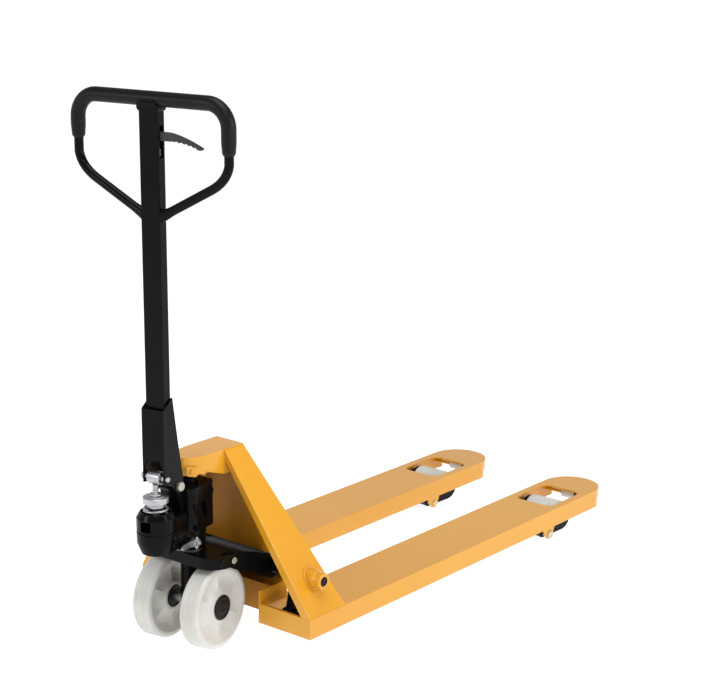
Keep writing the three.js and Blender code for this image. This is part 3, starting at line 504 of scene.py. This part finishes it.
def band_fold(side, sign):
    """The rounded fold along the front edge of a side band."""
    points = [v.co for v in frame["nodes"]["head_housing"].data.vertices]
    low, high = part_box("head_housing")

    def outermost(near, far):
        return max((p for p in points if near < p.z < far), key=lambda p: sign * p.y * OUTWARD_FIRST - p.x)

    inset = Vector((FOLD_INSET, -sign * FOLD_INSET, 0))
    foot = outermost(low.z - MM, low.z + MM) + inset
    top = outermost(high.z - 3 * MM, high.z - MM) + inset
    line = [foot.lerp(top, k / FOLD_STEPS) for k in range(FOLD_STEPS + 1)]
    build("band_fold_" + side, swept(line, FOLD_RADIUS, 20), "head_housing")


def frame_steel():
    """The sheet-metal and cast parts that keep their CAD shape, with softened edges."""
    dressed("head_housing", 1.6, 3, crease=34)
    for side, sign in SIDES:
        band_fold(side, sign)
    # The bulkhead and cross member get the darker yellow, painted shade for where they lie in shadow.
    dressed("bulkhead", 1.4, 3, material=YELLOW_PAINTED_SHADE)
    dressed("cross_member", 1.5, 3, material=YELLOW_PAINTED_SHADE)
    for side, _ in SIDES:
        dressed("fork_" + side, 1.5, 3)
        dressed("rod_lever_" + side, 1.5)
        dressed("push_rod_" + side, 1.0)
        dressed("yoke_" + side, 1.2)
    dressed("retaining_strap", 0.7)
    dressed("rocker_arm", 1.6, material=SOOT)
    dressed("bracket", 2.2, 3)
    dressed("pump_body", 1.6, 3)
    dressed("release_rod", 0.4, material=STEEL)


# ------------------------------------------------------------------ steering wheels
# Steering wheel: radii and depths of its cast disc in mm, and where the mould lines cross the tread.
WHEEL_PETALS = 6
WHEEL_BORE, WHEEL_HUB, WHEEL_RIM = 26.5, 36.0, 84.0
HUB_STEP, DISC_SUNK, PETAL_SUNK = 0.6, 5.0, 7.0
PETAL_RISE, PETAL_WIDTH = 1.2, 0.7
TREAD_LINES = (0.30, 0.52, 0.74)
FIT = 0.5


def wheel_face(half):
    """How far the disc of a cast wheel sinks between its broad ribs."""
    def ripple(r, h, a):
        if not WHEEL_HUB < r < WHEEL_RIM:
            return 0.0
        share = (r - WHEEL_HUB) / (WHEEL_RIM - WHEEL_HUB)
        petal = abs(math.cos(WHEEL_PETALS / 2 * a)) ** PETAL_WIDTH
        depth = PETAL_SUNK * math.sin(math.pi * share) ** PETAL_RISE * petal
        return -depth if h > half else depth
    return ripple


def steering_wheel(side):
    """A cast nylon wheel with three mould lines round its tread."""
    node = "steer_wheel_" + side
    place, width, radius = from_end(STEER, node, 1)

    def rows(h, way):
        """The rim shoulder and the disc of one face, from the tread inwards."""
        return [(radius, h + way * 7), (radius - 2.4, h + way * 2.2), (radius - 8, h),
                (WHEEL_RIM + 3, h + way * 0.6), (WHEEL_RIM, h + way * 3.5),
                (WHEEL_RIM - 9, h + way * DISC_SUNK * 1.5), (66, h + way * DISC_SUNK * 1.9),
                (54, h + way * DISC_SUNK * 1.9), (44, h + way * DISC_SUNK * 1.5),
                (WHEEL_HUB + 1, h + way * 4), (WHEEL_HUB - 1.5, h + way * HUB_STEP),
                (WHEEL_BORE, h + way * HUB_STEP)]

    tread = []
    for share in TREAD_LINES:
        h = width * share
        tread += [(radius, h - 0.8), (radius - 0.7, h - 0.3), (radius - 0.7, h + 0.3), (radius, h + 0.8)]
    profile = rows(0, 1)[::-1] + tread + rows(width, -1)
    shape = turned(profile, 1.0, 120, wheel_face(width / 2))
    build(node + "_cast", shape, node, place, stands_for=(node,), crease=40)


def wheel_bearing(side):
    """A sealed bearing: outer and inner race with a sunk shield between them."""
    node = "wheel_bearing_" + side
    place, length, outer = from_end(STEER, node, 1)
    inner = crosswise(STEER, "steer_axle")[2] + FIT

    def end(h, way):
        return [(outer, h), (outer - 3, h), (outer - 3.6, h + way * 1.6), (inner + 5, h + way * 1.6),
                (inner + 4.4, h), (inner, h)]

    profile = end(0, 1)[::-1] + end(length, -1)
    build(node + "_race", turned(profile, 0.5, 48), node, place, stands_for=(node,))


def hub_cap(side, sign):
    """A black cap with a raised ring and a small round boss in its middle."""
    node = "hub_cap_" + side
    place, thick, outer = from_end(STEER, node, sign)
    profile = [(0, 0), (outer, 0), (outer, thick * 0.45), (outer - 2.5, thick * 0.9), (outer - 7, thick),
               (outer - 9, thick - 1.0), (outer - 13, thick - 1.2), (outer - 15, thick - 0.2), (6, thick),
               (5, thick - 0.9), (0, thick - 0.9)]
    build(node + "_moulding", turned(profile, 0.6, 56), node, place, stands_for=(node,))


def steering_axle():
    """A ground bar with a retaining groove near each end."""
    place, half, r = crosswise(STEER, "steer_axle")
    end = [(0, half), (r - 1.5, half), (r, half - 1.5), (r, half - 36), (r - 1.2, half - 36.2),
           (r - 1.2, half - 38), (r, half - 38.2)]
    build("steer_axle_ground", turned(mirrored(end), 0, 40), "steer_axle", place,
          stands_for=("steer_axle",))


# ------------------------------------------------------------------ rollers under the forks
def load_roller(side):
    """The nylon load roller with its bearing shield, two mould lines and the axle through it."""
    node = "load_roller_" + side
    place, half, r = crosswise(WORLD, node)
    bore, line = 9.0, half * 0.35
    end = [(bore, half), (17, half), (18, half - 1.6), (27, half - 1.6), (28, half - 0.3), (r - 4.5, half),
           (r - 1.2, half - 1.4), (r, half - 5), (r, line), (r - 0.5, line - 0.4), (r - 0.5, line - 1.2),
           (r, line - 1.6)]
    build(node + "_tyre", turned(mirrored(end), 0.7, 80), node, place, stands_for=(node,))
    node = "load_axle_" + side
    place, half, r = crosswise(WORLD, node)
    end = [(0, half - 0.8), (2.2, half - 0.8), (3, half), (r - 1.2, half), (r, half - 1.2)]
    build(node + "_ground", turned(mirrored(end), 0, 32), node, place, stands_for=(node,))


def entry_roller(side):
    """The small roller under the fork's tip with a plastic hub in each end, and its pin."""
    node, pin = "entry_roller_" + side, "entry_pin_" + side
    place, half, r = crosswise(WORLD, node)
    pin_place, pin_half, pin_r = crosswise(WORLD, pin)
    bore = pin_r + FIT
    end = [(bore, half - 1), (bore + 2.5, half - 1), (bore + 3, half), (r - 1.5, half), (r, half - 1.5)]
    build(node + "_turned", turned(mirrored(end), 0.4, 48), node, place, stands_for=(node,))
    ring = [(bore, half - 2), (10, half - 2), (10, half + 1), (9, half + 2), (bore, half + 2)]
    hub = turned(ring, 0.3, 32)
    for label, way in (("_out", LEFT), ("_in", -LEFT)):
        build("entry_hub_" + side + label, hub, node, facing(place.translation, way), material=PLASTIC)
    end = [(0, pin_half), (pin_r - 0.8, pin_half), (pin_r, pin_half - 0.8)]
    build(pin + "_ground", turned(mirrored(end), 0, 24), pin, pin_place, stands_for=(pin,))


def yoke_pivot(side, sign):
    """The pivot pin with its round head outside the fork."""
    node = "yoke_pivot_pin_" + side
    place, length, _ = from_end(WORLD, node, sign)
    shank, head = 8.0, length - 5.0
    profile = [(0, 0), (shank - 1, 0), (shank, 1), (shank, head), (11, head + 0.2), (11, head + 2.5),
               (9.5, length - 0.4), (4, length), (3.4, length - 0.8), (0, length - 0.8)]
    build(node + "_turned", turned(profile, 0.3, 40), node, place, material=BRASS, stands_for=(node,))


# ------------------------------------------------------------------ torsion shaft and its bosses
def turned_bar(node, place=WORLD, way=LEFT, chamfer=1.2, material=None):
    """A plain round CAD bar with chamfered ends."""
    low, high = box_in(place, node)
    size = high - low
    half = in_mm(size.dot(way)) / 2
    r = in_mm(min(size[i] for i in range(3) if AXES[i] != way)) / 2
    profile = mirrored([(0, half), (r - chamfer, half), (r, half - chamfer)])
    return build(node + "_ground", turned(profile, 0, 48), node, place @ facing(centre((low, high)), way),
                 material=material, stands_for=(node,))


# Rays cast for the bead round a boss, how many have to land, and the bead's distances in mm.
BEAD_POINTS, FULL_RING = 40, 30
BOSS_GAP, BOSS_BEAD, RAY_START = 0.6, 2.8, 120


def shaft_boss(side, sign):
    """The stepped boss on a side band, hollow from inside, with its mouth held by the end cap."""
    node = "shaft_boss_" + side
    place, length, big = from_end(WORLD, node, sign)
    small, mouth, bore = big - 2.0, 11.4, 18.4
    profile = [(bore, 0), (big, 0), (big, length - 22), (small + 0.8, length - 18), (small, length - 12),
               (small, length - 1.6), (small - 1.6, length), (mouth + 0.6, length), (mouth, length - 0.8),
               (mouth, length - 9), (bore, length - 9)]
    build(node + "_turned", turned(profile, 1.2, 72), node, place, stands_for=(node,))
    boss_weld(side, sign, place.translation, big + BOSS_GAP)


def boss_weld(side, sign, middle, radius):
    """The bead round the boss, laid where rays from outside meet the side band."""
    outside = sign * (cad_box[1].y + RAY_START * MM)
    ring = []
    for k in range(BEAD_POINTS):
        a = TAU * k / BEAD_POINTS
        start = (middle.x + radius * MM * math.cos(a), outside, middle.z + radius * MM * math.sin(a))
        hit = surface("head_housing", start, (0, -sign, 0))
        if hit:
            ring.append(hit)
    if len(ring) > FULL_RING:
        weld("boss_weld_" + side, ring, BOSS_BEAD, "shaft_boss_" + side, closed=True)


def shaft_cap(side, sign):
    """The black plug in the boss's mouth, with a dimple in its middle."""
    node = "shaft_cap_" + side
    place, thick, outer = from_end(WORLD, node, sign)
    profile = [(0, 0), (outer, 0), (outer, thick - 2), (outer - 2, thick), (6, thick), (5, thick - 1.2),
               (0, thick - 1.2)]
    build(node + "_moulding", turned(profile, 0.7, 48), node, place, stands_for=(node,))


# ------------------------------------------------------------------ pump unit
def collar():
    """The seal collar: a stepped foot with a snap groove, and a neck with a lip at its top."""
    place, h, r = upright("seal_collar")
    bore = upright("ram")[2] - 1.0
    neck = r - 3.2
    profile = [(bore, 0.2), (r, 0.2), (r, 6), (r - 1.2, 6.6), (r - 1.2, 7.8), (r, 8.4), (r, 11.5),
               (r - 2, 14), (neck, 14.6), (neck, h - 6), (neck - 1, h - 5.4), (neck - 1, h - 4.4),
               (neck - 0.4, h - 3.8), (neck - 1.6, h), (bore + 1, h), (bore, h - 1)]
    build("seal_collar_moulding", turned(profile, 0.8, 72), "seal_collar", place,
          stands_for=("seal_collar",))


def ram_rod():
    """The chromed rod with its thicker, domed head."""
    place, h, head = upright("ram")
    rod = head - 2.0
    profile = [(0, 0), (rod - 1, 0), (rod, 1), (rod, h - 23), (head, h - 22), (head, h - 8),
               (head - 1.5, h - 3), (head - 6, h - 0.6), (6, h), (0, h)]
    build("ram_chromed", turned(profile, 0.5, 56), "ram", place, stands_for=("ram",))


# Hand pump's plunger in mm: how far its cap's seat lies below its top, and the thread of its stem.
SEAT_DROP = 42.5
THREAD_TURNS, THREAD_PITCH, THREAD_FROM = 8, 1.6, 23
THREAD_CREST, THREAD_ROOT = 6.9, 6.2


def plunger_parts():
    """Guide, domed cap, stepped washers and threaded stem of the hand pump's plunger."""
    place, top, cap = upright("plunger")
    seat = top - SEAT_DROP
    thread = []
    for k in range(THREAD_TURNS):
        crest = seat + THREAD_FROM + THREAD_PITCH * k
        thread += [(THREAD_CREST, crest), (THREAD_ROOT, crest + THREAD_PITCH / 2)]
    profile = [(0, 0), (7.5, 0), (9, 1.5), (9, seat - 10), (21, seat - 9.5), (21, seat), (cap - 1, seat),
               (cap, seat + 1.2), (cap, seat + 13.6), (cap - 1.4, seat + 15), (23, seat + 15.2),
               (22, seat + 15.6), (22, seat + 17), (18, seat + 18), (13.6, seat + 18.2), (13, seat + 18.8),
               (13, seat + 21), (12, seat + 22), (7, seat + 22.2), *thread, (THREAD_CREST, top - 5),
               (6, top - 0.4), (0, top)]
    build("plunger_turned", turned(profile, 0.35, 72), "plunger", place, stands_for=("plunger",))


# Return spring: turns and the part of a turn that lies flat at each end, and sizes in mm.
COIL_TURNS, COIL_FLAT, COIL_STEPS = 5.5, 0.9, 340
COIL_WIRE, COIL_SEAT, COIL_FLOOR = 3.1, 9.0, 0.3


def coil_height(turn, bottom, top):
    """Height of the coil's wire in mm after so many turns, with its end turns lying closer."""
    rising = COIL_TURNS - 2 * COIL_FLAT
    share = min(1.0, max(0.0, (turn - COIL_FLAT) / rising))
    share = (share * share * (3 - 2 * share) + share) / 2
    edge = COIL_WIRE * (min(turn, COIL_FLAT) - COIL_FLAT + max(0.0, turn - COIL_TURNS + COIL_FLAT))
    return bottom + COIL_WIRE * COIL_FLAT + (top - bottom - 2 * COIL_WIRE * COIL_FLAT) * share + edge


def coil_spring():
    """The plunger's return spring, drawn as one fixed coil at the length that the frame gives it."""
    low, high = box_in(STEER, "plunger_spring")
    middle = centre((low, high))
    r = in_mm(high.y - low.y) / 2 - COIL_WIRE
    bottom = in_mm(low.z) + COIL_WIRE + COIL_FLOOR
    top = in_mm(high.z) - COIL_WIRE - COIL_SEAT
    path = []
    for i in range(COIL_STEPS + 1):
        turn = COIL_TURNS * i / COIL_STEPS
        out = Vector((math.cos(TAU * turn), math.sin(TAU * turn), 0)) * r * MM
        path.append(Vector((middle.x, middle.y, coil_height(turn, bottom, top) * MM)) + out)
    piece = build("plunger_coil", swept(path, COIL_WIRE * MM, 14), "plunger_spring", STEER,
                  material=ZINC, stands_for=("plunger_spring",))
    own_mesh(piece)


# Spring cup and tank in mm: the cup's mouth radius and rim height, and the tank's flat side.
CUP_MOUTH, CUP_RIM = 33.2, 354.0
LIP_SUNK = 1.4
TANK_SIDE = 50.0
PLUG_SUNK = 0.4
RIB_SUNK, RIB_PROUD = 2.0, 3.2


def pump_details():
    """Lip of the spring cup, the cast rib and the plugs on the tank's sides."""
    spring = centre(box_in(STEER, "plunger_spring"))
    lip = turned([(CUP_MOUTH, 0), (CUP_MOUTH + 4.6, 0), (CUP_MOUTH + 4.6, 1.6), (CUP_MOUTH + 3.4, 2.8),
                  (CUP_MOUTH + 1, 2.8), (CUP_MOUTH, 1.8)], 0.5, 72)
    rim = Matrix.Translation((spring.x, spring.y, (CUP_RIM - LIP_SUNK) * MM))
    build("cup_lip", lip, "pump_body", STEER @ rim)
    face = Matrix(((1, 0, 0, 0), (0, 0, -1, -TANK_SIDE * MM), (0, 1, 0, 0), (0, 0, 0, 1)))
    rib = [(-44, 352), (-24, 352), (0, 308), (0, 294), (-20, 294)]
    build("tank_rib", plate(rib, -RIB_SUNK, RIB_PROUD), "pump_body", STEER @ face, material=BLACK,
          bevel=1.2 * MM, steps=3)
    reach = TANK_SIDE - PLUG_SUNK
    for name, x, z, size in (("valve_cap", -36, 297, 9), ("oil_plug", 22, 372, 12)):
        at = facing(Vector((x, -reach, z)) * MM, -LEFT, 0.3)
        build(name, bolt(size, 4, 1.2), "pump_body", STEER @ at, material=BLACK)
    far = facing(Vector((18, reach, 350)) * MM, LEFT, 0.2)
    build("drain_plug", bolt(13, 5, 1.5), "pump_body", STEER @ far, material=STEEL)


# How far the clamp stud stands behind the release lever's front end.
CLAMP_INSET = 9 * MM


def release_gear():
    """The valve lever with its clamp stud and the nuts on it."""
    dressed("release_lever", 0.6)
    low, high = box_in(STEER, "release_lever")
    x, z = high.x - CLAMP_INSET, centre((low, high)).z
    stud = turned([(0, -13), (3, -13), (3.4, -12), (3.4, 14), (2.6, 15), (0, 15)], 0, 24)
    nuts = merged(stud, hexagon(11, 5, 3), hexagon(11, 4.4, -9))
    standing = Matrix.Translation((x, low.y + 2 * MM, z))
    build("release_stud", nuts, "release_lever", STEER @ standing, material=ZINC)
    outer = facing((x, low.y - 0.3 * MM, z + 0.5 * MM), -LEFT, 0.2)
    build("release_lever_nut", bolt(13, 5, 1.2, 3), "release_lever", STEER @ outer, material=ZINC)
    inner = facing((x, high.y + 0.2 * MM, z + 0.5 * MM), LEFT, 0.5)
    build("release_lever_jam_nut", bolt(11, 4, 1.0), "release_lever", STEER @ inner, material=ZINC)


def pivots():
    """The plain round bars that the linkage and the handle turn on, and the bearing under the pump."""
    turned_bar("pivot_shaft", STEER, LEFT, 1.5, STEEL)
    turned_bar("torsion_shaft", WORLD, LEFT, 1.5)
    for side, _ in SIDES:
        turned_bar("bracket_pin_" + side, WORLD, LEFT, 1.2)
    dressed("thrust_bearing", 0.6)


def handle_socket():
    """The socket with the pressure roller between its ears and the roller's headed pin."""
    dressed("handle_base", 0.9)
    node = "pressure_roller"
    place, half, r = crosswise(STEER, node)
    end = [(6.6, half - 0.8), (8.6, half - 0.8), (9, half), (r - 1.6, half), (r, half - 1.6)]
    build(node + "_ground", turned(mirrored(end), 0.3, 56), node, place, stands_for=(node,))
    node = "roller_pin"
    place, length, _ = from_end(STEER, node, 1)
    profile = [(0, 0), (5, 0), (6, 1), (6, length - 6), (9, length - 5.7), (9, length - 1.2), (8, length),
               (2.6, length), (2, length - 0.8), (0, length - 0.8)]
    build(node + "_turned", turned(profile, 0.3, 36), node, place, stands_for=(node,))


# ------------------------------------------------------------------ handle
# Loop in mm: the reach of its top corners, where its legs start beside the tube and where they turn up.
LOOP_BEND = 52.0
LEG_START, LEG_TURN = 25.9, (150, 1092)
LEG_CORNER_IN, LEG_CORNER, LEG_END = 6, 1115, 1150
FOOT_RISE = 1.135
ARC_PULL = 0.45


def arc(points, steps=16):
    """Points (y, z) along the Bezier curve of the given control points."""
    count = len(points) - 1
    out = []
    for k in range(steps + 1):
        t = k / steps
        out.append(sum((Vector(p) * math.comb(count, i) * t ** i * (1 - t) ** (count - i)
                        for i, p in enumerate(points)), Vector((0, 0))))
    return out


def loop_line():
    """The loop's centre line in metres, from its right-hand joint to its left, and its radius in mm."""
    low, high = box_in(STEER, "handle_loop")
    r = in_mm(high.x - low.x) / 2
    x = in_mm(centre((low, high)).x)
    half = in_mm(high.y - low.y) / 2 - r
    top = in_mm(high.z) - r
    foot = Vector((LEG_START, in_mm(low.z) + FOOT_RISE * r))
    leg = arc([LEG_TURN, (half - LEG_CORNER_IN, LEG_CORNER), (half, LEG_END)])
    pull = LOOP_BEND * ARC_PULL
    corner = arc([(half, top - LOOP_BEND), (half, top - pull), (half - pull, top), (half - LOOP_BEND, top)])
    left = [foot, *leg, *corner]
    line = [Vector((x, -p.x, p.y)) for p in left] + [Vector((x, p.x, p.y)) for p in left[::-1]]
    return [p * MM for p in line], r


def subdivided(line, step):
    """The same line with a point about every step."""
    out = []
    for a, b in zip(line, line[1:]):
        count = max(1, round((b - a).length / step))
        out += [a.lerp(b, k / count) for k in range(count)]
    return out + [line[-1]]


# Loop tube and its grips: flares in mm and in shares of the length.
TUBE_FLARE, TUBE_FLARE_SHARE = 2.2, 0.022
GRIP_TAPER, GRIP_TAPER_SHARE = 2.4, 0.05
GRIP_LIP, GRIP_LIP_SHARE = 0.9, 0.0015


def handle_loop():
    """The bent tube, flared a little where it meets the post, and the moulded grip over its top."""
    line, r = loop_line()

    def widening(share):
        near = min(share, 1 - share)
        return (r + TUBE_FLARE * max(0.0, 1 - near / TUBE_FLARE_SHARE)) * MM

    build("handle_loop_tube", swept(subdivided(line, 8 * MM), widening, 28), "handle_loop", STEER,
          stands_for=("handle_loop",), crease=50)
    low, high = box_in(STEER, "grip_sleeve")
    outer = in_mm(high.x - low.x) / 2
    back = STEER.inverted()
    skin = [back @ v.co for v in frame["nodes"]["grip_sleeve"].data.vertices]
    left_end = min(p.z for p in skin if p.y > 0)
    held = [p for p in subdivided(line, 5 * MM) if p.z > (left_end if p.y > 0 else low.z) + 0.5 * MM]

    def swell(share):
        near = min(share, 1 - share)
        if near < GRIP_LIP_SHARE:
            return (r + GRIP_LIP) * MM
        return (outer - GRIP_TAPER * (1 - min(1.0, near / GRIP_TAPER_SHARE))) * MM

    build("grip_sleeve_moulding", swept(held, swell, 32), "grip_sleeve", STEER,
          stands_for=("grip_sleeve",), crease=50)


# Post, saddle and welds: in mm, except that a post's long edge and the gap under a bead are in metres.
POST_CORNER, SADDLE_PROUD, BEAD_WAVE = 3.4, 1.6, 1.3
LONG_EDGE, RING_GAP = 0.3, 0.8 * MM
NEAR_CORNER = 0.5 * MM
RING_POINTS = 24
# Rows of weld on the saddle: height above the post and distance out from its middle in mm.
SADDLE_ROWS = ((4, 15.0), (9, 16.6), (15, 17.0))


def handle_post():
    """The square handle tube, softened along its outer corners only."""
    low, high = box_in(STEER, "handle_tube")
    back = STEER.inverted()

    def on_corner(p):
        return min(p.y - low.y, high.y - p.y) < NEAR_CORNER and min(p.x - low.x, high.x - p.x) < NEAR_CORNER

    def corner(edge):
        a, b = (back @ v.co for v in edge.verts)
        return on_corner(a) and on_corner(b) and abs(a.z - b.z) > LONG_EDGE

    dressed("handle_tube", POST_CORNER, 4, pick=corner)


def loop_saddle():
    """The saddle that joins the loop's crossbar to the top of the tube, with its rows of weld."""
    low, high = box_in(STEER, "handle_tube")
    middle, top = centre((low, high)), in_mm(high.z)
    reach = in_mm(high.x - low.x) / 2 + SADDLE_PROUD
    saddle = [(-26.5, top - 9), (26.5, top - 9), (30, top - 4), (31, top + 4), (28, top + 13),
              (-28, top + 13), (-31, top + 4), (-30, top - 4)]
    build("loop_saddle", plate(saddle, -reach, reach), "handle_loop", STEER @ sideways(middle.x),
          material=BLACK, bevel=2.4 * MM, steps=3)
    for row, (lift, out) in enumerate(SADDLE_ROWS):
        bead = []
        for y in range(-29 + 4 * row, 30 - 5 * row, 3):
            z = top + lift + BEAD_WAVE * math.sin(y / 2 + row)
            bead.append(Vector((middle.x / MM - out, y, z)) * MM)
        weld("saddle_weld_" + str(row), bead, 2.6, "handle_loop", STEER, material=BLACK, pitch=6.0)


def leg_welds():
    """The bead round each leg of the loop where it meets the side of the tube."""
    low, high = box_in(STEER, "handle_tube")
    half = (high.y - low.y) / 2
    line, r = loop_line()
    for side, sign, start, after in (("right", -1, line[0], line[1]), ("left", 1, line[-1], line[-2])):
        slope = (after - start).normalized()
        up = slope.cross(FORWARD)
        ring = []
        for k in range(RING_POINTS):
            a = TAU * k / RING_POINTS
            point = start + (FORWARD * math.cos(a) + up * math.sin(a)) * r * MM
            ring.append(point + slope * ((sign * (half + RING_GAP) - point.y) / slope.y))
        weld("loop_weld_" + side, ring, 2.6, "handle_loop", STEER, closed=True, material=BLACK, pitch=4.0)


# Finger lever: its teeth, in points of the lower edge, and how deep they are in mm.
LEVER_DROP = 10
TEETH_LENGTH, TEETH_FROM, TEETH_TO, TOOTH_DEPTH = 9, 8, 53, 3.0


def quad(a, b, c, steps):
    """Points after a along the quadratic curve from a to c."""
    return [Vector(a) * (1 - t) ** 2 + Vector(b) * 2 * t * (1 - t) + Vector(c) * t * t
            for t in (k / steps for k in range(1, steps + 1))]


def finger_lever():
    """The lever on its pin: smooth above, with finger serrations below and a hooked tip."""
    turned_bar("lever_pin", STEER, FORWARD, 0.8, BLACK)
    node = "finger_lever"
    low, high = box_in(STEER, node)
    thick = in_mm(high.x - low.x)
    z = in_mm(high.z) - LEVER_DROP
    tip = in_mm(low.y)
    outline = [Vector((1.6, z + 8)), Vector((1.6, z - 8.6)), Vector((-8, z - 9)), Vector((-40, z - 9))]
    for i, p in enumerate(quad((-40, z - 9), (-90, z - 8), (tip + 7, z - 22), 60)):
        toothed = TEETH_FROM <= i <= TEETH_TO
        bite = abs(math.sin(math.pi * (i - TEETH_FROM) / TEETH_LENGTH)) if toothed else 0.0
        outline.append(p + Vector((0.1, 1)) * TOOTH_DEPTH * (1 - bite if bite else 0.0))
    outline += quad(outline[-1], (tip - 3, z - 24), (tip + 0.5, z - 17), 8)
    outline += quad(outline[-1], (-80, z + 6), (-46, z + 9.6), 26)
    outline.append(Vector((-18, z + 9.6)))
    shape = plate([(p.x, p.y) for p in outline], -thick / 2, thick / 2)
    build("finger_lever_moulding", shape, node, STEER @ sideways(centre((low, high)).x),
          material=LEVER_GREY, stands_for=(node,), bevel=1.4 * MM, steps=3)


# ------------------------------------------------------------------ the whole truck
frame_steel()
for side_name, side_sign in SIDES:
    steering_wheel(side_name)
    wheel_bearing(side_name)
    hub_cap(side_name, side_sign)
    load_roller(side_name)
    entry_roller(side_name)
    yoke_pivot(side_name, side_sign)
    shaft_boss(side_name, side_sign)
    shaft_cap(side_name, side_sign)
steering_axle()
collar()
ram_rod()
plunger_parts()
coil_spring()
pump_details()
release_gear()
pivots()
handle_socket()
handle_loop()
handle_post()
loop_saddle()
leg_welds()
finger_lever()


# ------------------------------------------------------------------ camera, light and floor
# Camera: lens and sensor width in mm, the eye in metres and where it looks.
LENS, SENSOR = 92.64, 36.0
FARTHEST = 200
EYE = Vector((-3.4911, -2.8924, 1.7632))
YAW, PITCH, ROLL = math.radians(39.52), math.radians(14.62), 0.0051

# Each lamp: name, place and aim in metres, diameter in metres and power in watts.
LAMPS = (("overhead", (-0.6, -0.6, 4.2), (0, 0, 0.2), 3.2, 105),
         ("left_front", (-4.6, 1.6, 2.6), (-0.3, 0, 0.5), 1.6, 40),
         ("right_front", (0.8, -4.4, 2.2), (0.1, 0, 0.3), 2.0, 72),
         ("glint_high", (-2.4, -2.0, 3.4), (-0.5, 0, 0.5), 0.12, 12),
         ("glint_low", (-1.2, -3.2, 1.0), (-0.5, 0, 0.4), 0.1, 6))

# The sky fades from its strength at the horizon to the one overhead by this height of the view.
SKY_LOW, SKY_HIGH, SKY_FADE = 1.0, 0.22, 0.7
FLOOR_HALF = 60.0


def camera():
    """The view from the handle's right, a little above the truck."""
    data = bpy.data.cameras.new("camera")
    data.lens, data.sensor_width = LENS, SENSOR
    data.clip_end = FARTHEST
    ahead = Vector((math.cos(YAW) * math.cos(PITCH), math.sin(YAW) * math.cos(PITCH), -math.sin(PITCH)))
    right = Vector((math.sin(YAW), -math.cos(YAW), 0))
    up = right.cross(ahead)
    level = right * math.cos(ROLL) + up * math.sin(ROLL)
    above = up * math.cos(ROLL) - right * math.sin(ROLL)
    turn = Matrix((level, above, -ahead)).transposed()
    item = bpy.data.objects.new("camera", data)
    item.matrix_world = Matrix.Translation(EYE) @ turn.to_4x4()
    bpy.context.scene.collection.objects.link(item)
    bpy.context.scene.camera = item


def softbox(name, at, aim, size, power):
    """A round lamp that looks from at towards aim."""
    data = bpy.data.lights.new(name, "AREA")
    data.shape, data.size, data.energy = "DISK", size, power
    item = bpy.data.objects.new(name, data)
    item.location = at
    item.rotation_mode = "QUATERNION"
    item.rotation_quaternion = (Vector(aim) - Vector(at)).to_track_quat("-Z", "Y")
    bpy.context.scene.collection.objects.link(item)


def sky():
    """A white surround that is brighter near the horizon."""
    world = bpy.data.worlds.new("studio")
    world.use_nodes = True
    tree = world.node_tree
    back = tree.nodes["Background"]
    back.inputs["Color"].default_value = (1, 1, 1, 1)
    where = tree.nodes.new("ShaderNodeTexCoord")
    parts = tree.nodes.new("ShaderNodeSeparateXYZ")
    fade = tree.nodes.new("ShaderNodeMapRange")
    fade.inputs["From Max"].default_value = SKY_FADE
    fade.inputs["To Min"].default_value = SKY_LOW
    fade.inputs["To Max"].default_value = SKY_HIGH
    links(tree, (where.outputs["Generated"], parts.inputs["Vector"]),
          (parts.outputs["Z"], fade.inputs["Value"]),
          (fade.outputs["Result"], back.inputs["Strength"]))
    bpy.context.scene.world = world


def paper_floor():
    """The pale floor that the truck stands on."""
    mesh = bpy.data.meshes.new("floor")
    corners = [(x * FLOOR_HALF, y * FLOOR_HALF, 0) for x, y in ((-1, -1), (1, -1), (1, 1), (-1, 1))]
    mesh.from_pydata(corners, [], [(0, 1, 2, 3)])
    floor = bpy.data.objects.new("floor", mesh)
    floor.location.z = cad_box[0].z
    bpy.context.scene.collection.objects.link(floor)
    mesh.materials.append(look("floor_paper", (0.42, 0.42, 0.42), (0.40, 0.40, 0.40), 0.9, patch=0.6,
                               grain=30.0, bump=0.0, specular=0.0, glow=0.9))


camera()
sky()
for lamp in LAMPS:
    softbox(*lamp)
paper_floor()
bpy.context.scene.view_settings.view_transform = "Standard"
